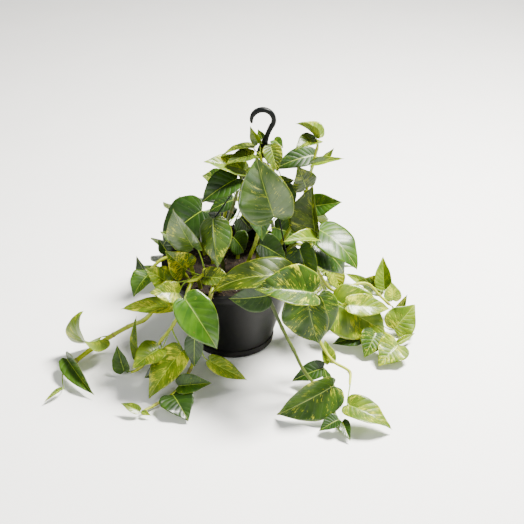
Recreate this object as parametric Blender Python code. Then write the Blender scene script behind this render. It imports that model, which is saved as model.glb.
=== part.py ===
"""Golden pothos growing in a hanging basket that stands on the floor.

Plastic parts: a tapered pot with a rolled rim, a snug saucer, and a hook
carried by three strands clipped into the rim.  Growing parts: the soil and
one solid for each vine, made of its stem, its petioles and its leaves.

The frame is metres, +Z up, +Y away from the front.  The origin is the middle
of the saucer's underside, on the floor.
"""

import math
from dataclasses import dataclass, replace

import bmesh
import bpy
import numpy as np
from mathutils import Matrix, Vector
from mathutils.bvhtree import BVHTree

MM = 0.001
CLEARANCE = 0.35 * MM

# ---- basket -------------------------------------------------------------
POT_HEIGHT = 165 * MM
POT_FLOOR_Z = 3.0 * MM
POT_BASE_RADIUS = 71 * MM
POT_TOP_RADIUS = 118 * MM
POT_RIM_RADIUS = 127 * MM
POT_WALL = 2.2 * MM
RIM_THICKNESS = 3.0 * MM
RIM_SKIRT = 11 * MM
POT_SEGMENTS = 32
SAUCER_THICKNESS = 2.5 * MM
SAUCER_RADIUS = 76 * MM
SAUCER_HEIGHT = 15 * MM
DRAIN_HOLES = 6
DRAIN_HOLE_RADIUS = 5 * MM
DRAIN_CIRCLE = 42 * MM

SOIL_TOP_Z = 143 * MM
SOIL_BUMP = 2.5 * MM
SOIL_SEGMENTS = 20
SOIL_HOLE_DEPTH = 24 * MM

# ---- hanger -------------------------------------------------------------
HOOK_CENTRE = Vector((55 * MM, 0.0, 440 * MM))
HOOK_BEND_RADIUS = 18.7 * MM
HOOK_BASE_Z = 371 * MM
HOOK_SIDES = 8
STRAND_RADIUS = 1.2 * MM
STRAND_SIDES = 6
STRAND_SPACING = 60 * MM
STRAND_AZIMUTHS = (210, 330, 90)
SOCKET_DEPTH = 8 * MM
CLIP_CIRCLE = 121.4 * MM
KNOB_RADIUS = 2.2 * MM

# ---- foliage ------------------------------------------------------------
STEM_SIDES = 5
STEM_STEP = 36 * MM
STEM_ROOT_RADIUS = 3.5 * MM
STEM_TIP_RADIUS = 2.3 * MM
STOUT_TIP_RADIUS = 4.4 * MM
PETIOLE_SIDES = 3
PETIOLE_STEPS = 3
SMALL_PETIOLE_STEPS = 2
PETIOLE_RADIUS = 1.5 * MM
PETIOLE_TIP_RADIUS = 0.9 * MM
RIB_SHARE = 0.10
RIB_RADIUS = 0.25 * MM
BLADE_THICKNESS = 0.8 * MM
LARGE_BLADE = 105 * MM
SMALL_BLADE = 66 * MM
BLADE_AIR = 0.5 * MM
RING_AIR = 0.2 * MM
FLOOR_AIR = 1.0 * MM
ROOT_Z = 122.0

# Half of a blade's outline, in blade lengths from the foot: distance along
# the midrib, distance out to the margin, and where on the midrib the side
# vein that reaches this point of the margin starts.
HALF_OUTLINE = (
    (-0.085, 0.13, 0.00),
    (-0.030, 0.33, 0.00),
    (0.210, 0.45, 0.12),
    (0.490, 0.41, 0.36),
    (0.770, 0.20, 0.68),
)
SMALL_OUTLINE = (
    (-0.080, 0.20, 0.00),
    (0.110, 0.43, 0.12),
    (0.440, 0.41, 0.34),
    (0.740, 0.19, 0.66),
)
NOMINAL_WIDTH = 0.90


@dataclass(frozen=True)
class Leaf:
    """One blade: foot and tip in millimetres, angles in degrees."""

    foot: tuple
    tip: tuple
    width: float          # blade width over blade length
    face: tuple           # azimuth and elevation the upper side looks to
    fold: float = 15      # rise of each half out of the midrib
    bend: float = 20      # turn of the midrib from foot to tip, tip falling
    cup: float = 0        # further rise of each half towards its margin
    wave: float = 0.01    # ripple of the margin, in blade lengths
    twist: float = 0      # turn about the midrib from foot to tip


# Each climbing or trailing vine in front and at the sides: its route from
# the soil in millimetres, then its leaves.
VINES = {
    "vine_crown": (
        [(25, -30, 150), (30, -34, 185), (45, -42, 235), (57, -34, 290),
         (58, -24, 335), (53, -16, 372), (49, -13, 388)],
        [Leaf((74, -88, 306), (44, -50, 398), 0.95, (245, 32), 20, 25),
         Leaf((54, -45, 301), (57, -65, 246), 0.75, (260, 20), 20, 20),
         Leaf((50, -12, 206), (96, 0, 168), 0.85, (275, 50), 15, 25),
         Leaf((48, -8, 402), (34, -15, 436), 0.55, (250, 20), 30, 10),
         Leaf((42, -14, 399), (-14, -30, 396), 0.50, (200, 60), 20, 35),
         Leaf((40, -22, 390), (-7, -50, 395), 0.60, (230, 50), 15, 30)],
    ),
    "vine_crown_back": (
        [(45, 12, 150), (50, 14, 190), (62, 16, 250), (72, 14, 310),
         (74, 12, 355), (72, 10, 385)],
        [Leaf((74, 16, 395), (90, 0, 388), 0.90, (290, 45), 20, 40),
         Leaf((68, -8, 395), (80, -30, 358), 0.80, (280, 35), 20, 20),
         Leaf((54, 12, 400), (47, 12, 418), 0.70, (280, 30), 10, 0),
         Leaf((78, 10, 314), (109, 10, 324), 0.80, (280, 40), 15, 20),
         Leaf((94, 0, 316), (110, -10, 278), 0.70, (280, 20), 20, 20),
         Leaf((78, 34, 216), (128, 48, 182), 0.85, (275, 45), 15, 25)],
    ),
    "vine_top_right": (
        [(70, 5, 150), (85, 6, 190), (112, 5, 245), (130, 5, 300),
         (140, 5, 350), (147, 2, 385), (149, 0, 398)],
        [Leaf((147, 0, 407), (111, 20, 425), 1.00, (0, 55), 35, 40, 20),
         Leaf((144, 5, 401), (99, -20, 393), 0.70, (250, 60), 15, 40),
         Leaf((160, 10, 366), (176, 0, 388), 0.50, (300, 20), 25, 0),
         Leaf((139, -14, 365), (192, -28, 383), 0.35, (290, 60), 30, 10, 0, 0.02),
         Leaf((144, 30, 360), (72, 10, 341), 0.50, (260, 50), 15, 45),
         Leaf((130, -10, 319), (112, -10, 361), 1.00, (285, 25), 15, 20, -10, 0.03),
         Leaf((140, 10, 269), (193, -5, 287), 0.75, (285, 40), 20, 15)],
    ),
    "vine_top_left": (
        [(-15, -10, 150), (-18, -10, 190), (-8, -14, 245), (8, -20, 300),
         (17, -26, 340), (23, -28, 354)],
        [Leaf((27, -25, 360), (-40, -50, 389), 0.60, (240, 60), 15, 20, 0, 0.03),
         Leaf((12, -38, 350), (-48, -72, 322), 0.72, (250, 45), 20, 35),
         Leaf((-16, 0, 331), (-49, -5, 338), 1.00, (260, 30), 10, 10),
         Leaf((-29, -60, 284), (-21, -100, 209), 0.75, (262, 15), -35, 40, 10, 0.02),
         Leaf((-52, 10, 261), (-124, 0, 195), 0.95, (235, 40), 10, 40, -15),
         Leaf((1, 20, 281), (-44, 10, 271), 0.90, (260, 50), 10, 30),
         Leaf((4, 0, 212), (22, 22, 168), 0.90, (270, 50), 15, 25),
         Leaf((16, 14, 244), (36, 40, 196), 0.85, (275, 40), 15, 25)],
    ),
    "vine_right": (
        [(80, -25, 150), (100, -25, 185), (125, -28, 205), (143, -34, 220)],
        [Leaf((146, -40, 247), (138, -45, 340), 0.95, (225, 25), 30, 15, 10),
         Leaf((145, -88, 264), (86, -112, 268), 0.50, (250, 65), 30, 30, 0, 0.02),
         Leaf((118, -50, 217), (144, -85, 161), 0.85, (255, 35), 15, 30)],
    ),
    "vine_right_back": (
        [(75, 25, 150), (95, 32, 190), (122, 36, 205), (142, 32, 210)],
        [Leaf((157, 15, 219), (224, -35, 166), 0.72, (310, 45), 10, 55, -20),
         Leaf((145, 30, 179), (203, 20, 118), 0.80, (310, 40), 10, 70, -10)],
    ),
    "vine_left": (
        [(-45, -45, 150), (-46, -60, 182), (-47, -88, 191), (-58, -100, 188),
         (-76, -98, 182)],
        [Leaf((-61, -55, 234), (-86, -60, 310), 0.85, (255, 25), 20, 15),
         Leaf((-78, -70, 190), (-111, -80, 233), 1.00, (245, 50), 20, 25, 0, 0.02),
         Leaf((-107, -85, 172), (-146, -95, 206), 0.90, (250, 50), 15, 20, 0, 0.02),
         Leaf((-44, -95, 190), (6, -106, 194), 0.75, (275, 60), 15, 30, 0, 0.02),
         Leaf((-88, -116, 170), (-137, -132, 182), 0.80, (255, 50), 10, 35, 0, 0.03)],
    ),
    "vine_left_low": (
        [(-70, -15, 150), (-84, -20, 183), (-118, -28, 186), (-142, -34, 168),
         (-152, -34, 150)],
        [Leaf((-94, -35, 229), (-123, -35, 245), 0.70, (255, 40), 15, 20),
         Leaf((-114, 0, 186), (-131, 0, 207), 0.90, (240, 30), 15, 10),
         Leaf((-148, -40, 159), (-172, -75, 135), 0.95, (235, 55), 20, 40, 0, 0.02),
         Leaf((-151, -20, 142), (-169, -20, 186), 0.60, (240, 25), 25, 10)],
    ),
    "vine_front_left": (
        [(-55, -60, 150), (-62, -80, 180), (-72, -112, 174), (-80, -122, 150),
         (-100, -124, 110), (-122, -120, 75), (-142, -118, 42), (-160, -122, 18),
         (-180, -128, 8)],
        [Leaf((-74, -148, 179), (-21, -178, 97), 0.66, (285, 30), 18, 30, -10, 0.02),
         Leaf((-191, -124, 10), (-204, -101, 50), 0.75, (250, 25), 25, 10),
         Leaf((-167, -109, 30), (-171, -68, 90), 0.35, (230, 10), 45, 5),
         Leaf((-124, -146, 75), (-168, -183, 60), 0.85, (250, 60), 15, 30, 0, 0.02),
         Leaf((-111, -142, 35), (-153, -150, 15), 0.80, (260, 60), 15, 20, 0, 0.02),
         Leaf((-86, -140, 66), (-142, -200, 8), 0.60, (240, 45), 15, 20, 0, 0.02)],
    ),
    "vine_front_floor": (
        [(-20, -70, 150), (-25, -95, 180), (-33, -130, 176), (-42, -142, 135),
         (-54, -150, 90), (-70, -164, 45), (-92, -188, 18), (-125, -212, 8),
         (-150, -234, 8)],
        [Leaf((-89, -189, 28), (-32, -190, 35), 0.75, (265, 50), 35, 10, 0, 0.02),
         Leaf((-98, -206, 22), (-69, -257, 8), 1.00, (280, 60), 10, 30, 0, 0.02),
         Leaf((-154, -237, 12), (-185, -228, 22), 0.55, (255, 60), 20, 20),
         Leaf((-152, -237, 12), (-137, -245, 8), 0.60, (280, 60), 20, 10),
         Leaf((-36, -160, 60), (29, -160, 18), 0.42, (285, 50), 15, -25, 0, 0.03),
         Leaf((-60, -170, 120), (-62, -176, 58), 0.55, (265, 15), 20, 20)],
    ),
    "vine_far_left": (
        [(-75, -50, 150), (-90, -64, 184), (-113, -82, 172), (-126, -90, 140),
         (-152, -72, 88), (-192, -50, 52), (-240, -58, 24), (-281, -92, 9),
         (-296, -115, 7)],
        [Leaf((-241, -58, 30), (-266, -56, 95), 0.72, (218, 15), 15, 165),
         Leaf((-100, -116, 143), (-192, -106, 132), 0.40, (255, 70), 15, 15, 0, 0.02),
         Leaf((-293, -109, 25), (-236, -192, 10), 0.42, (220, 45), 40, 15),
         Leaf((-294, -180, 14), (-320, -208, 8), 0.30, (250, 60), 40, 0)],
    ),
    "vine_front": (
        [(55, -65, 150), (70, -90, 182), (90, -116, 180), (115, -124, 172),
         (136, -118, 165)],
        [Leaf((138, -168, 206), (41, -178, 220), 0.85, (268, 58), 32, 30, 0, 0.02),
         Leaf((112, -118, 200), (-36, -132, 180), 0.42, (265, 70), 15, 80, 0, 0.02),
         Leaf((130, -140, 177), (151, -162, 97), 1.10, (240, 25), 28, 25, 0, 0.02),
         Leaf((64, -128, 171), (-3, -142, 166), 0.75, (265, 20), 10, 30)],
    ),
    "vine_front_right": (
        [(85, -42, 150), (110, -48, 184), (132, -64, 178), (146, -84, 168)],
        [Leaf((151, -100, 154), (161, -118, 76), 0.80, (305, 25), 20, 20)],
    ),
    "vine_right_floor": (
        [(72, -52, 150), (90, -78, 184), (110, -94, 176), (126, -106, 140),
         (142, -118, 105), (160, -134, 70), (177, -150, 52), (200, -165, 46),
         (206, -176, 44), (203, -205, 42)],
        [Leaf((174, -145, 48), (164, -121, 80), 0.65, (290, 25), 20, 10),
         Leaf((199, -249, 35), (271, -281, 10), 0.60, (285, 55), 15, 40, 0, 0.02, -40)],
    ),
    "vine_right_thin": (
        [(38, -80, 150), (46, -105, 182), (62, -124, 174), (78, -128, 135),
         (92, -136, 104), (108, -152, 78), (126, -168, 45), (146, -180, 24), (168, -205, 16),
         (176, -240, 12), (182, -262, 10)],
        [Leaf((166, -149, 40), (115, -176, 20), 0.60, (260, 60), 20, 30),
         Leaf((168, -184, 30), (161, -165, 50), 0.60, (290, 40), 15, 10),
         Leaf((173, -230, 60), (78, -243, 8), 0.75, (288, 18), 30, 15, 0, 0.02),
         Leaf((180, -272, 22), (148, -286, 10), 0.80, (250, 70), 20, 20),
         Leaf((185, -272, 20), (197, -306, 8), 0.60, (280, 60), 25, 20)],
    ),
    "vine_arch": (
        [(90, 15, 150), (108, 20, 184), (134, 28, 174), (152, 32, 132),
         (172, 32, 94), (188, 30, 80), (212, 36, 83), (238, 46, 85),
         (256, 50, 79), (274, 46, 60), (290, 43, 44), (300, 42, 36)],
        [Leaf((288, 80, 50), (286, 119, 100), 0.60, (255, 20), 30, 15, 0, 0.02),
         Leaf((286, 84, 50), (241, 107, 60), 0.80, (250, 55), 15, 25, 0, 0.02),
         Leaf((259, 102, 45), (215, 137, 50), 0.35, (240, 60), 25, 10),
         Leaf((299, 51, 40), (304, 79, 60), 1.00, (260, 40), 10, 10),
         Leaf((306, 19, 25), (318, 48, 60), 0.50, (230, 20), 30, 10),
         Leaf((299, -2, 15), (336, 32, 50), 1.00, (280, 45), 10, 25, 0, 0.03),
         Leaf((185, 55, 113), (200, 40, 65), 0.70, (285, 30), 15, 20, 0, 0.02),
         Leaf((183, 50, 101), (159, 50, 123), 0.70, (270, 50), 15, 10)],
    ),
    "vine_low_right": (
        [(90, -12, 150), (110, -12, 184), (136, -6, 172), (155, 0, 130),
         (172, 8, 92), (190, 16, 50), (226, 14, 20), (266, 4, 11),
         (296, -22, 9), (301, -52, 9)],
        [Leaf((212, -22, 83), (290, -12, 67), 0.55, (275, 55), 10, 20, 0, 0.05),
         Leaf((186, -6, 76), (285, -24, 26), 0.88, (262, 40), 12, 35, -10, 0.02),
         Leaf((262, -43, 35), (239, -82, 8), 0.95, (275, 50), 15, 30, 0, 0.02),
         Leaf((237, -42, 25), (183, -43, 10), 0.70, (260, 75), 10, 20),
         Leaf((304, -43, 12), (338, -19, 18), 0.35, (290, 60), 30, 0),
         Leaf((301, -66, 25), (262, -107, 8), 1.00, (270, 60), 12, 25, 0, 0.03)],
    ),
}

# Vines with a stout fleshy stem.
STOUT_VINES = ("vine_far_left",)
# Vines that the rule grows round the back: azimuth in degrees, how far the
# tip trails from the axis in millimetres, and the number of leaves.
BACK_VINES = ((38, 235, 5), (56, 260, 4), (75, 215, 4), (96, 255, 4), (115, 225, 5), (133, 215, 4))
# The rule's leaves look to the back, between these azimuths.
RULE_AZIMUTHS = (48, 114)
# Vines that climb the hanger from behind: root, top and number of leaves.
BACK_CLIMBERS = (((10, 45), (52, 26, 352), 6), ((-35, 25), (6, 20, 318), 4))
MOUND_CENTRE = np.array((20.0, 0.0))
RULE_SEED = 7
TRIES = 110
STRICT_TRIES = 45


# ---------------------------------------------------------------- helpers
def clear_scene():
    for obj in list(bpy.data.objects):
        bpy.data.objects.remove(obj)


def principled(name, colour, roughness):
    mat = bpy.data.materials.new(name)
    mat.use_nodes = True
    shader = mat.node_tree.nodes["Principled BSDF"]
    shader.inputs["Base Color"].default_value = (*colour, 1.0)
    shader.inputs["Roughness"].default_value = roughness
    return mat


def add_object(name, verts, faces, mat=None, sharp=None):
    """A mesh object; sharp is the angle in degrees above which edges stay hard."""
    mesh = bpy.data.meshes.new(name)
    mesh.from_pydata([tuple(v) for v in verts], [], faces)
    if sharp is not None:
        mesh.shade_smooth()
        mesh.set_sharp_from_angle(angle=math.radians(sharp))
    if mat:
        mesh.materials.append(mat)
    obj = bpy.data.objects.new(name, mesh)
    bpy.context.collection.objects.link(obj)
    return obj


def apply_boolean(obj, operation, operand=None, collection=None, solver="EXACT"):
    """Apply one Boolean to obj and remove what it was made with."""
    modifier = obj.modifiers.new(operation.title(), "BOOLEAN")
    modifier.operation = operation
    modifier.solver = solver
    if collection:
        modifier.operand_type = "COLLECTION"
        modifier.collection = collection
    else:
        modifier.object = operand
    bpy.context.view_layer.update()
    depsgraph = bpy.context.evaluated_depsgraph_get()
    result = bpy.data.meshes.new_from_object(obj.evaluated_get(depsgraph))
    obj.modifiers.remove(modifier)
    obj.data = result
    for part in list(collection.objects) if collection else [operand]:
        bpy.data.objects.remove(part)
    if collection:
        bpy.data.collections.remove(collection)


def revolved(profile, segments):
    """Turn a profile of (radius, z) about Z; points at radius 0 close on the axis."""
    verts, faces, rings = [], [], []
    for radius, z in profile:
        if radius == 0:
            rings.append([len(verts)] * segments)
            verts.append((0.0, 0.0, z))
            continue
        rings.append([len(verts) + i for i in range(segments)])
        for i in range(segments):
            angle = 2 * math.pi * i / segments
            verts.append((radius * math.cos(angle), radius * math.sin(angle), z))
    closed = profile[0][0] != 0
    pairs = list(zip(rings, rings[1:] + ([rings[0]] if closed else [])))
    for lower, upper in pairs[: None if closed else len(rings) - 1]:
        for i in range(segments):
            j = (i + 1) % segments
            face = []
            for index in (lower[i], lower[j], upper[j], upper[i]):
                if index not in face:
                    face.append(index)
            if len(face) > 2:
                faces.append(tuple(face))
    return verts, faces


def smooth_route(points, step):
    """Points about step apart on the smooth curve through the route's points."""
    knots = [np.array(p, float) for p in points]
    knots = [2 * knots[0] - knots[1], *knots, 2 * knots[-1] - knots[-2]]
    route = []
    for a, b, c, d in zip(knots, knots[1:], knots[2:], knots[3:]):
        count = max(1, round(float(np.linalg.norm(c - b)) / step))
        for i in range(count):
            t = i / count
            route.append(0.5 * (2 * b + (c - a) * t + (2 * a - 5 * b + 4 * c - d) * t * t
                                + (3 * b - a - 3 * c + d) * t ** 3))
    return [*route, knots[-2]]


def tube(points, radii, sides):
    """A closed tube along points, its rings carried along without twist."""
    points = [np.array(p, float) for p in points]
    tangents = [unit(points[min(i + 1, len(points) - 1)] - points[max(i - 1, 0)])
                for i in range(len(points))]
    side = unit(np.cross(tangents[0], (0.3, 1.0, 0.2)))
    verts, faces = [], []
    for point, tangent, radius in zip(points, tangents, radii):
        side = unit(side - tangent * np.dot(side, tangent))
        other = np.cross(tangent, side)
        for i in range(sides):
            angle = 2 * math.pi * i / sides
            verts.append(point + radius * (math.cos(angle) * side + math.sin(angle) * other))
    for ring in range(len(points) - 1):
        for i in range(sides):
            j = (i + 1) % sides
            faces.append((ring * sides + i, ring * sides + j,
                          (ring + 1) * sides + j, (ring + 1) * sides + i))
    faces.append(tuple(range(sides - 1, -1, -1)))
    faces.append(tuple((len(points) - 1) * sides + i for i in range(sides)))
    return verts, faces


def unit(vector):
    vector = np.asarray(vector, float)
    return vector / np.linalg.norm(vector)


def direction(azimuth, elevation):
    azimuth, elevation = math.radians(azimuth), math.radians(elevation)
    return np.array((math.cos(elevation) * math.cos(azimuth),
                     math.cos(elevation) * math.sin(azimuth), math.sin(elevation)))


# ----------------------------------------------------------------- basket
def pot_solid():
    """The pot before its holes are cut."""
    floor = SAUCER_THICKNESS + CLEARANCE
    skirt_inner = POT_RIM_RADIUS - POT_WALL
    profile = [
        (0, floor), (POT_BASE_RADIUS - 2 * MM, floor), (POT_BASE_RADIUS, floor + 2 * MM),
        (POT_TOP_RADIUS, POT_HEIGHT - RIM_THICKNESS),
        (skirt_inner, POT_HEIGHT - RIM_THICKNESS),
        (skirt_inner, POT_HEIGHT - RIM_SKIRT), (POT_RIM_RADIUS, POT_HEIGHT - RIM_SKIRT),
        (POT_RIM_RADIUS, POT_HEIGHT - 1.2 * MM), (POT_RIM_RADIUS - 1.2 * MM, POT_HEIGHT),
        (POT_TOP_RADIUS - POT_WALL, POT_HEIGHT),
        (POT_BASE_RADIUS - POT_WALL, floor + POT_FLOOR_Z), (0, floor + POT_FLOOR_Z),
    ]
    return revolved(profile, POT_SEGMENTS)


def build_pot(mat):
    floor = SAUCER_THICKNESS + CLEARANCE
    pot = add_object("hanging_pot", *pot_solid(), mat)
    holes = bpy.data.collections.new("pot_holes")
    bpy.context.scene.collection.children.link(holes)
    for index in range(DRAIN_HOLES):
        azimuth = 360 / DRAIN_HOLES * (index + 0.5)
        place = DRAIN_CIRCLE * direction(azimuth, 0)
        add_cutter(holes, place, -2 * MM, floor + 8 * MM, DRAIN_HOLE_RADIUS, 8)
    for azimuth in STRAND_AZIMUTHS:
        place = CLIP_CIRCLE * direction(azimuth, 0)
        add_cutter(holes, place, POT_HEIGHT - 8 * MM, POT_HEIGHT + 4 * MM,
                   STRAND_RADIUS + CLEARANCE + 0.1 * MM, STRAND_SIDES)
    apply_boolean(pot, "DIFFERENCE", collection=holes)
    pot.data.shade_smooth()
    pot.data.set_sharp_from_angle(angle=math.radians(35))


def add_cutter(collection, place, low, high, radius, sides):
    verts, faces = tube([(place[0], place[1], low), (place[0], place[1], high)],
                        [radius, radius], sides)
    cutter = add_object("cutter", verts, faces)
    cutter.hide_render = True
    cutter.display_type = "WIRE"
    bpy.context.collection.objects.unlink(cutter)
    collection.objects.link(cutter)


def build_saucer(mat):
    inner = SAUCER_RADIUS - 1.8 * MM
    flare = 0.8 * MM
    profile = [
        (0, 0), (POT_BASE_RADIUS + CLEARANCE, 0), (SAUCER_RADIUS - flare, 3 * MM),
        (SAUCER_RADIUS, SAUCER_HEIGHT), (inner, SAUCER_HEIGHT),
        (inner - flare, SAUCER_THICKNESS + 1.5 * MM), (POT_BASE_RADIUS, SAUCER_THICKNESS),
        (0, SAUCER_THICKNESS),
    ]
    verts, faces = revolved(profile, POT_SEGMENTS)
    add_object("saucer", verts, faces, mat, sharp=35)


def pot_inner_radius(z):
    floor = SAUCER_THICKNESS + CLEARANCE + POT_FLOOR_Z
    share = (z - floor) / (POT_HEIGHT - floor)
    return POT_BASE_RADIUS + share * (POT_TOP_RADIUS - POT_BASE_RADIUS) - POT_WALL


def build_soil(mat, roots):
    """The soil fills the pot and has a plain hole for each stem."""
    low = SAUCER_THICKNESS + CLEARANCE + POT_FLOOR_Z + CLEARANCE
    # a straight-sided segment lies inside its circle by this share
    flat = math.cos(math.pi / SOIL_SEGMENTS)
    margin = CLEARANCE + 0.6 * MM
    profile = [(0, low), ((pot_inner_radius(low) - margin) * flat, low),
               ((pot_inner_radius(SOIL_TOP_Z) - margin) * flat, SOIL_TOP_Z - 2 * MM)]
    outer = profile[-1][0]
    profile += [(outer * share, SOIL_TOP_Z) for share in (0.70, 0.35)]
    profile.append((0, SOIL_TOP_Z))
    verts, faces = revolved(profile, SOIL_SEGMENTS)
    bumped = []
    for x, y, z in verts:
        if z >= SOIL_TOP_Z:
            z += SOIL_BUMP * (math.sin(95 * x + 1.3) * math.cos(80 * y) + 0.5 * math.sin(210 * (x - y)))
        bumped.append((x, y, z))
    soil = add_object("potting_soil", bumped, faces, mat, sharp=40)
    holes = bpy.data.collections.new("soil_holes")
    bpy.context.scene.collection.children.link(holes)
    for x, y in roots:
        add_cutter(holes, (x * MM, y * MM), ROOT_Z * MM - CLEARANCE, SOIL_TOP_Z + 20 * MM,
                   (STEM_ROOT_RADIUS + CLEARANCE) / math.cos(math.pi / 6), 6)
    apply_boolean(soil, "DIFFERENCE", collection=holes)


# ----------------------------------------------------------------- hanger
def hook_sections():
    """Centre, half width in the hook's plane and half depth, tip to base."""
    sections = []
    steps = 14
    for step in range(steps + 1):
        angle = math.radians(198 - 238 * step / steps)
        centre = HOOK_CENTRE + HOOK_BEND_RADIUS * Vector((math.cos(angle), 0, math.sin(angle)))
        swell = min(1.0, 0.55 + 0.13 * step)
        sections.append((centre, 4.3 * MM * swell, 4.8 * MM * swell))
    for x, z, half_width, half_depth in (
        (63.0, 413.0, 4.2, 4.4), (59.0, 401.0, 5.6, 4.2),
        (56.0, 387.0, 9.2, 4.0), (54.5, 371.0, 11.6, 3.8),
    ):
        sections.append((Vector((x, 0, z)) * MM, half_width * MM, half_depth * MM))
    return sections


def hook_solid():
    """The hook before its sockets are cut."""
    sections = hook_sections()
    verts, faces = [], []
    for index, (centre, half_width, half_depth) in enumerate(sections):
        ahead = sections[min(index + 1, len(sections) - 1)][0]
        behind = sections[max(index - 1, 0)][0]
        along = (ahead - behind).normalized()
        if index == len(sections) - 1:
            along = Vector((0, 0, -1))
        across = Vector((0, 1, 0)).cross(along)
        for i in range(HOOK_SIDES):
            angle = 2 * math.pi * (i + 0.5) / HOOK_SIDES
            # a rounded rectangle: the circle's sides are pushed out
            c, s = math.cos(angle), math.sin(angle)
            c, s = (math.copysign(abs(v) ** 0.7, v) for v in (c, s))
            verts.append(centre + across * (half_width * c) + Vector((0, half_depth * s, 0)))
    n = HOOK_SIDES
    for ring in range(len(sections) - 1):
        for i in range(n):
            j = (i + 1) % n
            faces.append((ring * n + j, ring * n + i, (ring + 1) * n + i, (ring + 1) * n + j))
    faces.append(tuple(range(n)))
    faces.append(tuple(len(verts) - 1 - i for i in range(n)))
    return verts, faces


def build_hook(mat):
    hook = add_object("hanger_hook", *hook_solid(), mat)
    sockets = bpy.data.collections.new("sockets")
    bpy.context.scene.collection.children.link(sockets)
    for place in socket_places():
        add_cutter(sockets, place, HOOK_BASE_Z - 4 * MM, HOOK_BASE_Z + SOCKET_DEPTH,
                   STRAND_RADIUS + CLEARANCE, STRAND_SIDES)
    apply_boolean(hook, "DIFFERENCE", collection=sockets)
    hook.data.shade_smooth()
    hook.data.set_sharp_from_angle(angle=math.radians(40))


def socket_places():
    """Where the strands enter the hook's base, in the order of the azimuths."""
    return [np.array((46.5 * MM, 0, 0)), np.array((62.5 * MM, 0, 0)),
            np.array((54.5 * MM, 0, 0))]


def strand_route(socket, azimuth):
    clip = CLIP_CIRCLE * direction(azimuth, 0)
    top = np.array((socket[0], socket[1], HOOK_BASE_Z - 2 * MM))
    low = np.array((clip[0], clip[1], POT_HEIGHT + 1 * MM))
    run = low - top
    return [
        top + (0, 0, SOCKET_DEPTH + 1.4 * MM), top,
        top + run * 0.03 + (0, 0, -3 * MM), top + run * 0.10,
        top + run * 0.88, top + run * 0.965 + (0, 0, 3 * MM),
        low, low - (0, 0, 5 * MM),
    ]


def strand_solids():
    """One rod for each strand, with its knob."""
    solids = []
    for socket, azimuth in zip(socket_places(), STRAND_AZIMUTHS):
        points = smooth_route(strand_route(socket, azimuth), STRAND_SPACING)
        radii = [STRAND_RADIUS] * len(points)
        # the knob below the rim keeps the strand in its hole
        end = points[-1]
        for drop, radius in ((0.6, STRAND_RADIUS), (1.4, KNOB_RADIUS),
                             (3.2, KNOB_RADIUS), (4.0, STRAND_RADIUS)):
            points.append(end - np.array((0, 0, drop * MM)))
            radii.append(radius)
        solids.append(tube(points, radii, STRAND_SIDES))
    return solids


def build_strands(mat):
    for number, (verts, faces) in enumerate(strand_solids(), 1):
        add_object(f"hanger_strand_{number}", verts, faces, mat, sharp=40)


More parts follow.
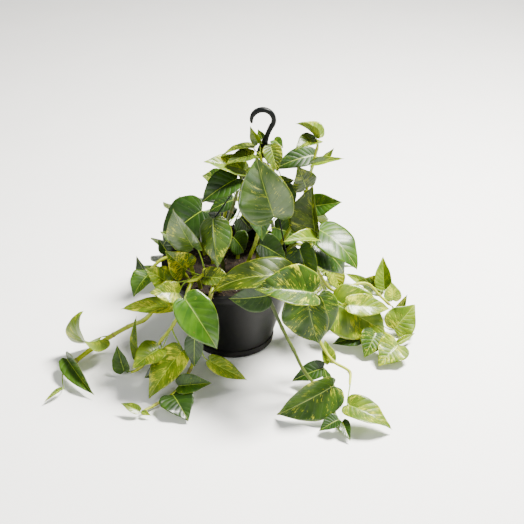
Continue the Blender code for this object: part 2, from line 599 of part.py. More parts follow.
# ---------------------------------------------------------------- foliage
class Blade:
    """The curved surface of one leaf blade."""

    def __init__(self, leaf):
        self.leaf = leaf
        self.foot = np.array(leaf.foot, float) * MM
        chord = np.array(leaf.tip, float) * MM - self.foot
        self.reach = float(np.linalg.norm(chord))
        self.along = unit(chord)
        normal = direction(*leaf.face)
        self.up = unit(normal - self.along * np.dot(normal, self.along))
        self.left = np.cross(self.up, self.along)
        self.bend = math.radians(leaf.bend) or 1e-4
        self.length = self.reach * self.bend / (2 * math.sin(self.bend / 2))

    def heading(self, a):
        """Rise of the midrib over the chord, at a share of its length."""
        return self.bend / 2 - self.bend * a

    def frame(self, a):
        """Midrib point, its left direction and its upward normal."""
        start, here = self.bend / 2, self.heading(a)
        scale = self.length / self.bend
        point = (self.foot + self.along * scale * (math.sin(start) - math.sin(here))
                 + self.up * scale * (math.cos(here) - math.cos(start)))
        normal = self.up * math.cos(here) - self.along * math.sin(here)
        turn = math.radians(self.leaf.twist) * a
        left = self.left * math.cos(turn) + normal * math.sin(turn)
        return point, left, normal * math.cos(turn) - self.left * math.sin(turn)

    def tangent(self, a):
        here = self.heading(a)
        return self.along * math.cos(here) + self.up * math.sin(here)

    def point(self, a, b):
        """The surface at a along the midrib and b to the left, in blade lengths."""
        base, left, normal = self.frame(a)
        out = abs(b) * self.length
        fold = math.radians(self.leaf.fold)
        curl = math.radians(self.leaf.cup) / (0.4 * self.length)
        if abs(curl) > 1e-6:
            side = (math.sin(fold + curl * out) - math.sin(fold)) / curl
            rise = (math.cos(fold) - math.cos(fold + curl * out)) / curl
        else:
            side, rise = out * math.cos(fold), out * math.sin(fold)
        phase = 17 * self.reach / MM + (1.9 if b > 0 else 0.0)
        ripple = self.leaf.wave * self.length * (b / 0.4) ** 2 * math.sin(13 * a + phase)
        return base + left * math.copysign(side, b) + normal * (rise + ripple)

    def rows(self):
        """Left margin to right margin, row by row from foot to tip, as points."""
        spread = self.leaf.width / NOMINAL_WIDTH
        rows = [[self.point(0, 0)]]
        for a, b, start in SMALL_OUTLINE if self.reach < SMALL_BLADE else HALF_OUTLINE:
            row = [self.point(a, b * spread)]
            if self.has_middle(a):
                row.append(self.point((a + start) / 2, b * spread / 2))
            row.append(self.point(start, 0))
            if self.has_middle(a):
                row.append(self.point((a + start) / 2, -b * spread / 2))
            row.append(self.point(a, -b * spread))
            rows.append(row)
        rows.append([self.point(1, 0)])
        return rows

    def has_middle(self, a):
        """Large blades carry one more line of points halfway to the margin."""
        return self.reach > LARGE_BLADE and a > -0.05

    def sheet(self):
        """Upper surface as points and triangles."""
        points, index, rows = [], {}, []
        for row in self.rows():
            ids = []
            for point in row:
                key = tuple(np.round(point, 7))
                if key not in index:
                    index[key] = len(points)
                    points.append(point)
                ids.append(index[key])
            rows.append(ids)
        triangles = []
        for before, after in zip(rows, rows[1:]):
            half_before, half_after = (len(before) + 1) // 2, (len(after) + 1) // 2
            triangles += zipped(before[:half_before], after[:half_after])
            left_over = zipped(before[::-1][:half_before], after[::-1][:half_after])
            triangles += [(a, c, b) for a, b, c in left_over]
        return points, [t for t in triangles if len(set(t)) == 3]

    def solid(self, above=0.0, below=BLADE_THICKNESS):
        """The closed blade: its sheet raised by above and lowered by below."""
        points, triangles = self.sheet()
        points = np.array(points)
        normals = np.zeros_like(points)
        for a, b, c in triangles:
            normal = np.cross(points[b] - points[a], points[c] - points[a])
            for corner in (a, b, c):
                normals[corner] += normal
        normals /= np.linalg.norm(normals, axis=1)[:, None]
        count = len(points)
        verts = [*(points + normals * above), *(points - normals * below)]
        faces = list(triangles) + [(a + count, c + count, b + count) for a, b, c in triangles]
        edges = {(t[i], t[(i + 1) % 3]) for t in triangles for i in range(3)}
        for a, b in sorted(edges):
            if (b, a) not in edges:
                faces.append((b, a, a + count))
                faces.append((b, a + count, b + count))
        return verts, faces


def zipped(before, after):
    """Triangles between two rows that both start at the margin."""
    triangles = []
    i, j = len(before) - 1, len(after) - 1
    while i > 0 or j > 0:
        if j > 0 and (i == 0 or j >= i):
            triangles.append((before[i], after[j], after[j - 1]))
            j -= 1
        else:
            triangles.append((before[i], after[j], before[i - 1]))
            i -= 1
    return triangles


def petiole(blade, route, earlier=0):
    """Centre line of the petiole: it leaves the stem and arrives under the foot.

    It starts below the stem's nearest point, and earlier moves that start
    further down the stem by so many of the route's points.
    """
    distances = [float(np.linalg.norm(p - blade.foot)) for p in route]
    nearest = int(np.argmin(distances))
    back = 0.45 * distances[nearest] + 8 * MM
    start = nearest
    while start > 2 and back > 0:
        back -= float(np.linalg.norm(route[start] - route[start - 1]))
        start -= 1
    start = min(max(start - earlier, 2), len(route) - 1)
    origin = route[start]
    growth = unit(route[min(start + 1, len(route) - 1)] - route[max(start - 1, 0)])
    span = float(np.linalg.norm(blade.foot - origin))
    arrive = unit(0.75 * blade.frame(0)[2] + 0.55 * blade.tangent(0))
    foot = blade.frame(0)[0] - blade.frame(0)[2] * (BLADE_THICKNESS + 0.5 * MM)
    p1 = origin + growth * span * 0.35
    p2 = foot - arrive * span * 0.32
    steps = SMALL_PETIOLE_STEPS if blade.reach < SMALL_BLADE else PETIOLE_STEPS
    line = []
    for step in range(steps + 1):
        t = step / steps
        line.append((1 - t) ** 3 * origin + 3 * t * (1 - t) ** 2 * p1
                    + 3 * t * t * (1 - t) * p2 + t ** 3 * foot)
    return line


def petiole_solid(blade, line, grow=0.0):
    """The petiole, carried on along the midrib's underside as a sunk rib."""
    size = min(1.0, 0.6 + blade.reach / 0.25)
    last = len(line) - 1
    radii = [size * (PETIOLE_RADIUS + (PETIOLE_TIP_RADIUS - PETIOLE_RADIUS) * i / last)
             for i in range(last + 1)]
    points = list(line)
    place, _, normal = blade.frame(RIB_SHARE)
    points.append(place - normal * BLADE_THICKNESS / 2)
    radii.append(RIB_RADIUS)
    return tube(points, [r + grow for r in radii], PETIOLE_SIDES)


def kinked(verts, faces, sides):
    """Whether a tube bends so sharply that its rings nearly meet or its faces cross."""
    rings = np.array(verts).reshape(-1, sides, 3)
    centres = rings.mean(axis=1)
    normals = np.cross(rings[:, 1] - rings[:, 0], rings[:, 2] - rings[:, 0])
    normals /= np.linalg.norm(normals, axis=1)[:, None]
    ahead = np.einsum("kij,kj->ki", rings[1:] - centres[:-1, None], normals[:-1])
    behind = np.einsum("kij,kj->ki", rings[:-1] - centres[1:, None], normals[1:])
    if min(ahead.min(), -behind.max()) < RING_AIR:
        return True
    triangles = [(f[0], f[i], f[i + 1]) for f in faces for i in range(1, len(f) - 1)]
    tree = BVHTree.FromPolygons([Vector(v) for v in verts], triangles)
    return any(not set(triangles[a]) & set(triangles[b]) for a, b in tree.overlap(tree))


def stem_route(points):
    root = (points[0][0], points[0][1], ROOT_Z)
    route = smooth_route([np.array(p, float) * MM for p in [root, *points]], STEM_STEP)
    return route


def stem_solid(name, route):
    tip_radius = STOUT_TIP_RADIUS if name in STOUT_VINES else STEM_TIP_RADIUS
    last = len(route) - 1
    radii = []
    for i in range(last + 1):
        share = max(0.0, (i - 2) / max(1, last - 2))
        radii.append(STEM_ROOT_RADIUS + (tip_radius - STEM_ROOT_RADIUS) * share)
    return tube(route, radii, STEM_SIDES)


class Crowd:
    """Solids already placed, for finding out what a new leaf would cross."""

    def __init__(self):
        self.members = []

    def add(self, owner, verts, faces):
        verts = np.array(verts)
        tree = BVHTree.FromPolygons([Vector(v) for v in verts], faces)
        self.members.append((owner, verts.min(axis=0), verts.max(axis=0), tree))

    def crossed(self, verts, faces, skip=()):
        verts = np.array(verts)
        low, high = verts.min(axis=0), verts.max(axis=0)
        tree = None
        for owner, other_low, other_high, other in self.members:
            if owner in skip or (low > other_high).any() or (high < other_low).any():
                continue
            if tree is None:
                tree = BVHTree.FromPolygons([Vector(v) for v in verts], faces)
            if tree.overlap(other):
                return True
        return False


def seeded(name, number):
    """A random source of its own for each leaf, so that none depends on another's tries."""
    return np.random.default_rng([RULE_SEED, number, *name.encode()])


def placed(leaf, route, name, crowd, rng):
    """The leaf and its petiole's line, turned by as little as keeps them clear.

    Returns None where no turn clears it.
    """
    for attempt in range(TRIES):
        trial = nudged(leaf, attempt, rng)
        blade = Blade(trial)
        own = (f"{name}_petiole",) if attempt > STRICT_TRIES else ()
        verts, faces = blade.solid(BLADE_AIR, BLADE_THICKNESS + BLADE_AIR)
        if blocked(verts) or crowd.crossed(verts, faces, skip=own):
            continue
        for earlier in (0, 1, -1, 2, 3, -2, 4):
            line = petiole(blade, route, earlier)
            if kinked(*petiole_solid(blade, line), PETIOLE_SIDES):
                continue
            stalk = petiole_solid(blade, line, grow=BLADE_AIR)
            if blocked(stalk[0]) or crowd.crossed(*stalk, skip=(name, f"{name}_petiole")):
                continue
            return trial, line
    return None


def nudged(leaf, attempt, rng):
    """Try number attempt: a turn about the foot that widens with each try."""
    if attempt == 0:
        return leaf
    angle = math.radians(1.5 + 0.35 * attempt)
    axis = unit(rng.normal(size=3))
    turn = Matrix.Rotation(angle, 3, Vector(axis))
    shift = Vector(rng.normal(size=3)) * min(5.0, 0.06 * attempt)
    foot = Vector(leaf.foot) + shift
    tip = foot + turn @ (Vector(leaf.tip) - Vector(leaf.foot))
    normal = turn @ Vector(direction(*leaf.face))
    face = (math.degrees(math.atan2(normal.y, normal.x)),
            math.degrees(math.asin(max(-1.0, min(1.0, normal.z)))))
    return replace(leaf, foot=tuple(foot), tip=tuple(tip), face=face)


def blocked(verts):
    """Whether any point lies below the floor's air gap or in the basket."""
    return min(v[2] for v in verts) < FLOOR_AIR or inside_pot(verts)


def inside_pot(verts):
    """Whether any point lies in the pot's body, its rim or the soil."""
    for x, y, z in verts:
        radius = math.hypot(x, y)
        if z < SOIL_TOP_Z + 5 * MM and radius < POT_TOP_RADIUS:
            if radius < pot_inner_radius(min(z, POT_HEIGHT)) + POT_WALL + 1.5 * MM:
                return True
        if z < POT_HEIGHT + 1.0 * MM and z > POT_HEIGHT - RIM_SKIRT - 1 * MM:
            if POT_TOP_RADIUS - POT_WALL - 1 * MM < radius < POT_RIM_RADIUS + 1 * MM:
                return True
    return False


def rule_leaves(name, route, count):
    """Leaves up a stem on alternate sides, hanging outwards from the mound."""
    rng = seeded(name, count)
    leaves = []
    first = next(i for i, p in enumerate(route) if p[2] > POT_HEIGHT + 4 * MM)
    for number in range(count):
        share = (number + 0.6) / count
        base = route[first + round(share * (len(route) - 1 - first))] / MM
        outward = base[:2] - MOUND_CENTRE
        azimuth = math.degrees(math.atan2(outward[1], outward[0]))
        azimuth += (38 if number % 2 else -38) + rng.uniform(-18, 18)
        azimuth = min(max(azimuth, RULE_AZIMUTHS[0]), RULE_AZIMUTHS[1])
        reach = rng.uniform(22, 42)
        foot = base + direction(azimuth, 35) * reach
        foot[2] = max(foot[2], 16)
        length = rng.uniform(70, 108) * (1.0 - 0.35 * share)
        steep = rng.uniform(-48, -20) if foot[2] > 70 else rng.uniform(-12, 5)
        tip = foot + direction(azimuth + rng.uniform(-25, 25), steep) * length
        tip[2] = max(tip[2], 6)
        leaves.append(Leaf(tuple(foot), tuple(tip), rng.uniform(0.72, 0.92),
                           (azimuth, rng.uniform(35, 60)), rng.uniform(8, 22),
                           rng.uniform(15, 45), 0, 0.015))
    return leaves


def back_vines():
    """Routes and leaf counts of the vines that grow by rule."""
    plans = {}
    for number, (azimuth, trail, count) in enumerate(BACK_VINES, 1):
        radial, side = direction(azimuth, 0), direction(azimuth + 90, 0)
        route = [(0.62, 0, 150), (0.76, 4, 182), (1.08, 6, 180), (1.2, 8, 140),
                 (1.32, 6, 85), (1.48, 2, 35)]
        points = [radial * r * 125 + side * s + np.array((0, 0, z)) for r, s, z in route]
        points.append(radial * (trail - 20) + side * 8 + np.array((0, 0, 9)))
        points.append(radial * trail + side * 16 + np.array((0, 0, 8)))
        plans[f"vine_back_{number}"] = (points, count)
    for number, (root, top, count) in enumerate(BACK_CLIMBERS, 1):
        low, high = np.array((*root, 150.0)), np.array(top, float)
        points = [low] + [low + (high - low) * share + np.array((0, 8 * math.sin(math.pi * share), 0))
                          for share in (0.25, 0.5, 0.75, 1.0)]
        plans[f"vine_climber_{number}"] = (points, count)
    return plans


def plan_foliage():
    """Each vine's stem route and its leaves, turned clear of each other."""
    crowd = Crowd()
    for solid in (pot_solid(), hook_solid(), *strand_solids()):
        crowd.add("basket", *solid)
    plans = {name: (points, leaves) for name, (points, leaves) in VINES.items()}
    routes = {name: stem_route(points) for name, (points, _) in plans.items()}
    grown = back_vines()
    for name, (points, _) in grown.items():
        routes[name] = stem_route([tuple(p) for p in points])
    for name, route in routes.items():
        crowd.add(name, *stem_solid(name, route))
    result = {}
    for name, route in routes.items():
        if name in plans:
            wanted = plans[name][1]
        else:
            wanted = rule_leaves(name, route, grown[name][1])
        kept = []
        for number, leaf in enumerate(wanted):
            spot = placed(leaf, route, name, crowd, seeded(name, number))
            if spot is None:
                print("no room for a leaf on", name, leaf.foot)
                continue
            blade = Blade(spot[0])
            crowd.add(f"{name}_leaf", *blade.solid())
            crowd.add(f"{name}_petiole", *petiole_solid(blade, spot[1]))
            kept.append(spot)
        result[name] = (route, kept)
    return result


def build_vine(name, route, leaves, mat):
    """Stem, petioles and blades joined in one solid."""
    vine = add_object(name, *stem_solid(name, route), mat)
    growth = bpy.data.collections.new(f"{name}_growth")
    bpy.context.scene.collection.children.link(growth)
    for leaf, line in leaves:
        blade = Blade(leaf)
        for solid in (blade.solid(), petiole_solid(blade, line)):
            piece = add_object("growth", *solid)
            bpy.context.collection.objects.unlink(piece)
            growth.objects.link(piece)
    apply_boolean(vine, "UNION", collection=growth, solver="MANIFOLD")
    vine.data.shade_smooth()
    vine.data.set_sharp_from_angle(angle=math.radians(50))


def main():
    clear_scene()
    black = principled("black plastic", (0.012, 0.013, 0.013), 0.38)
    soil_mat = principled("potting soil", (0.035, 0.022, 0.014), 0.95)
    foliage = principled("pothos foliage", (0.13, 0.26, 0.06), 0.42)
    build_pot(black)
    build_saucer(black)
    build_hook(black)
    build_strands(black)
    plan = plan_foliage()
    build_soil(soil_mat, [(route[0][0] / MM, route[0][1] / MM) for route, _ in plan.values()])
    for name, (route, leaves) in plan.items():
        build_vine(name, route, leaves, foliage)


main()
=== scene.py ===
"""Golden pothos in a hanging basket: the dressed model.

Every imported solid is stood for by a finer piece: leaves with veins, waves
and variegation, round stems with their joints and air roots, potting mix
with bark and grit, and moulded plastic.  The same planner as the solids'
places the leaves, so each fine leaf lies where its solid is.

Lengths are metres, +Z up, and the front looks along -Y.
"""

import logging
import math
from collections.abc import Sequence
from dataclasses import dataclass, field, replace
from enum import Enum

import bpy
import numpy as np
from mathutils import Matrix, Vector, noise
from mathutils.bvhtree import BVHTree

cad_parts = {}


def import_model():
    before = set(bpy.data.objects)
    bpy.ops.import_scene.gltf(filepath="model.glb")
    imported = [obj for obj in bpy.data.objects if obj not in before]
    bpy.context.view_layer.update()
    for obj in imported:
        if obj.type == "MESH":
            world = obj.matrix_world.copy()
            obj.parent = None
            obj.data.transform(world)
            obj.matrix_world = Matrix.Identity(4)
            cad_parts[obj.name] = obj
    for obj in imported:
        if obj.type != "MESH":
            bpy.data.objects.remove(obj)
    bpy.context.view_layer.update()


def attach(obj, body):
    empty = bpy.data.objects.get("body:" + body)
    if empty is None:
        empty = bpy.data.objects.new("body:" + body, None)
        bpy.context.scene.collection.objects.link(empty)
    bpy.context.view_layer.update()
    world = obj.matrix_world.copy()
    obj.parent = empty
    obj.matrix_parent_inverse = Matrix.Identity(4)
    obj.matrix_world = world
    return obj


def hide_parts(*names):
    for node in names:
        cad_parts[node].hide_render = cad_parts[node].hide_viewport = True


LOG = logging.getLogger("pothos")
Colour = tuple[float, float, float]
Mesh = tuple[list, list]

MM = 0.001
CLEARANCE = 0.35 * MM

# ---- basket -------------------------------------------------------------
POT_HEIGHT = 165 * MM
POT_FLOOR_Z = 3.0 * MM
POT_BASE_RADIUS = 71 * MM
POT_TOP_RADIUS = 118 * MM
POT_RIM_RADIUS = 127 * MM
POT_WALL = 2.2 * MM
RIM_THICKNESS = 3.0 * MM
RIM_SKIRT = 11 * MM
POT_SEGMENTS = 32
SAUCER_THICKNESS = 2.5 * MM
SAUCER_RADIUS = 76 * MM
SAUCER_HEIGHT = 15 * MM
SOIL_TOP_Z = 143 * MM

# ---- hanger -------------------------------------------------------------
HOOK_CENTRE = Vector((55 * MM, 0.0, 440 * MM))
HOOK_BEND_RADIUS = 18.7 * MM
HOOK_BASE_Z = 371 * MM
HOOK_SIDES = 8
STRAND_RADIUS = 1.2 * MM
STRAND_SIDES = 6
STRAND_SPACING = 60 * MM
STRAND_AZIMUTHS = (210, 330, 90)
SOCKET_DEPTH = 8 * MM
CLIP_CIRCLE = 121.4 * MM
KNOB_RADIUS = 2.2 * MM

# ---- foliage ------------------------------------------------------------
STEM_SIDES = 5
STEM_STEP = 36 * MM
STEM_ROOT_RADIUS = 3.5 * MM
STEM_TIP_RADIUS = 2.3 * MM
STOUT_TIP_RADIUS = 4.4 * MM
PETIOLE_SIDES = 3
PETIOLE_STEPS = 3
SMALL_PETIOLE_STEPS = 2
PETIOLE_RADIUS = 1.5 * MM
PETIOLE_TIP_RADIUS = 0.9 * MM
RIB_SHARE = 0.10
RIB_RADIUS = 0.25 * MM
BLADE_THICKNESS = 0.8 * MM
LARGE_BLADE = 105 * MM
SMALL_BLADE = 66 * MM
BLADE_AIR = 0.5 * MM
RING_AIR = 0.2 * MM
FLOOR_AIR = 1.0 * MM
ROOT_Z = 122.0

# Half of a blade's outline, in blade lengths from the foot: distance along
# the midrib, distance out to the margin, and where on the midrib the side
# vein that reaches this point of the margin starts.
HALF_OUTLINE = (
    (-0.085, 0.13, 0.00),
    (-0.030, 0.33, 0.00),
    (0.210, 0.45, 0.12),
    (0.490, 0.41, 0.36),
    (0.770, 0.20, 0.68),
)
SMALL_OUTLINE = (
    (-0.080, 0.20, 0.00),
    (0.110, 0.43, 0.12),
    (0.440, 0.41, 0.34),
    (0.740, 0.19, 0.66),
)
DRIP_TIP = (0.930, 0.05, 0.87)
NOMINAL_WIDTH = 0.90
# Side veins: pairs along the blade, how far each leans to the tip on its way
# out, in blade rows, and the step between the right half's and the left's.
VEIN_PAIRS = 11.0
VEIN_LEAN = 0.10
VEIN_STAGGER = 0.4


@dataclass(frozen=True)
class LeafFinish:
    """Colours and gloss of one kind of blade."""

    deep: Colour
    light: Colour
    mark: Colour
    marked: float
    gloss: float


class Tone(Enum):
    """The kinds of blade on the plant, by age and by how much of each is variegated; one is dark
    green painted darker for the shade deep in the mound.
    """

    GLOSS = LeafFinish(
        deep=(0.024, 0.061, 0.0066), light=(0.069, 0.123, 0.015), mark=(0.45, 0.477, 0.0225),
        marked=0.36, gloss=1.0)
    GREEN = LeafFinish(
        deep=(0.01, 0.036, 0.0006), light=(0.038, 0.09, 0.0009), mark=(0.288, 0.36, 0.0045),
        marked=0.32, gloss=0.3)
    BRIGHT = LeafFinish(
        deep=(0.016, 0.06, 0.0006), light=(0.052, 0.135, 0.0009), mark=(0.288, 0.396, 0.0045),
        marked=0.18, gloss=0.9)
    # Dark green blades, painted darker still for the shade that falls on them inside the mound.
    DARK_AND_SHADED = LeafFinish(
        deep=(0.005, 0.02, 0.0005), light=(0.019, 0.055, 0.001), mark=(0.117, 0.171, 0.0045),
        marked=0.26, gloss=0.4)
    OLIVE = LeafFinish(
        deep=(0.017, 0.037, 0.0003), light=(0.054, 0.09, 0.0006), mark=(0.324, 0.36, 0.0045),
        marked=0.44, gloss=0.3)
    LIME = LeafFinish(
        deep=(0.044, 0.092, 0.0004), light=(0.116, 0.18, 0.0007), mark=(0.414, 0.432, 0.0045),
        marked=0.46, gloss=0.4)
    PALE = LeafFinish(
        deep=(0.055, 0.104, 0.0007), light=(0.131, 0.198, 0.0022), mark=(0.468, 0.486, 0.018),
        marked=0.52, gloss=0.5)
    YELLOW = LeafFinish(
        deep=(0.029, 0.076, 0.0007), light=(0.077, 0.143, 0.0011), mark=(0.612, 0.549, 0.0045),
        marked=0.56, gloss=0.5)
    STREAK = LeafFinish(
        deep=(0.012, 0.04, 0.0006), light=(0.043, 0.095, 0.0009), mark=(0.45, 0.486, 0.009),
        marked=0.42, gloss=0.5)


# Tones that the rule draws from for the leaves at the back.
RULE_TONES = (Tone.GREEN, Tone.STREAK, Tone.GLOSS, Tone.OLIVE, Tone.GREEN, Tone.LIME, Tone.DARK_AND_SHADED,
              Tone.PALE)


@dataclass(frozen=True)
class Leaf:
    """One blade: foot and tip in millimetres, angles in degrees."""

    tone: Tone
    foot: tuple
    tip: tuple
    width: float
    face: tuple
    fold: float = 15
    bend: float = 20
    cup: float = 0
    wave: float = 0.01
    twist: float = 0


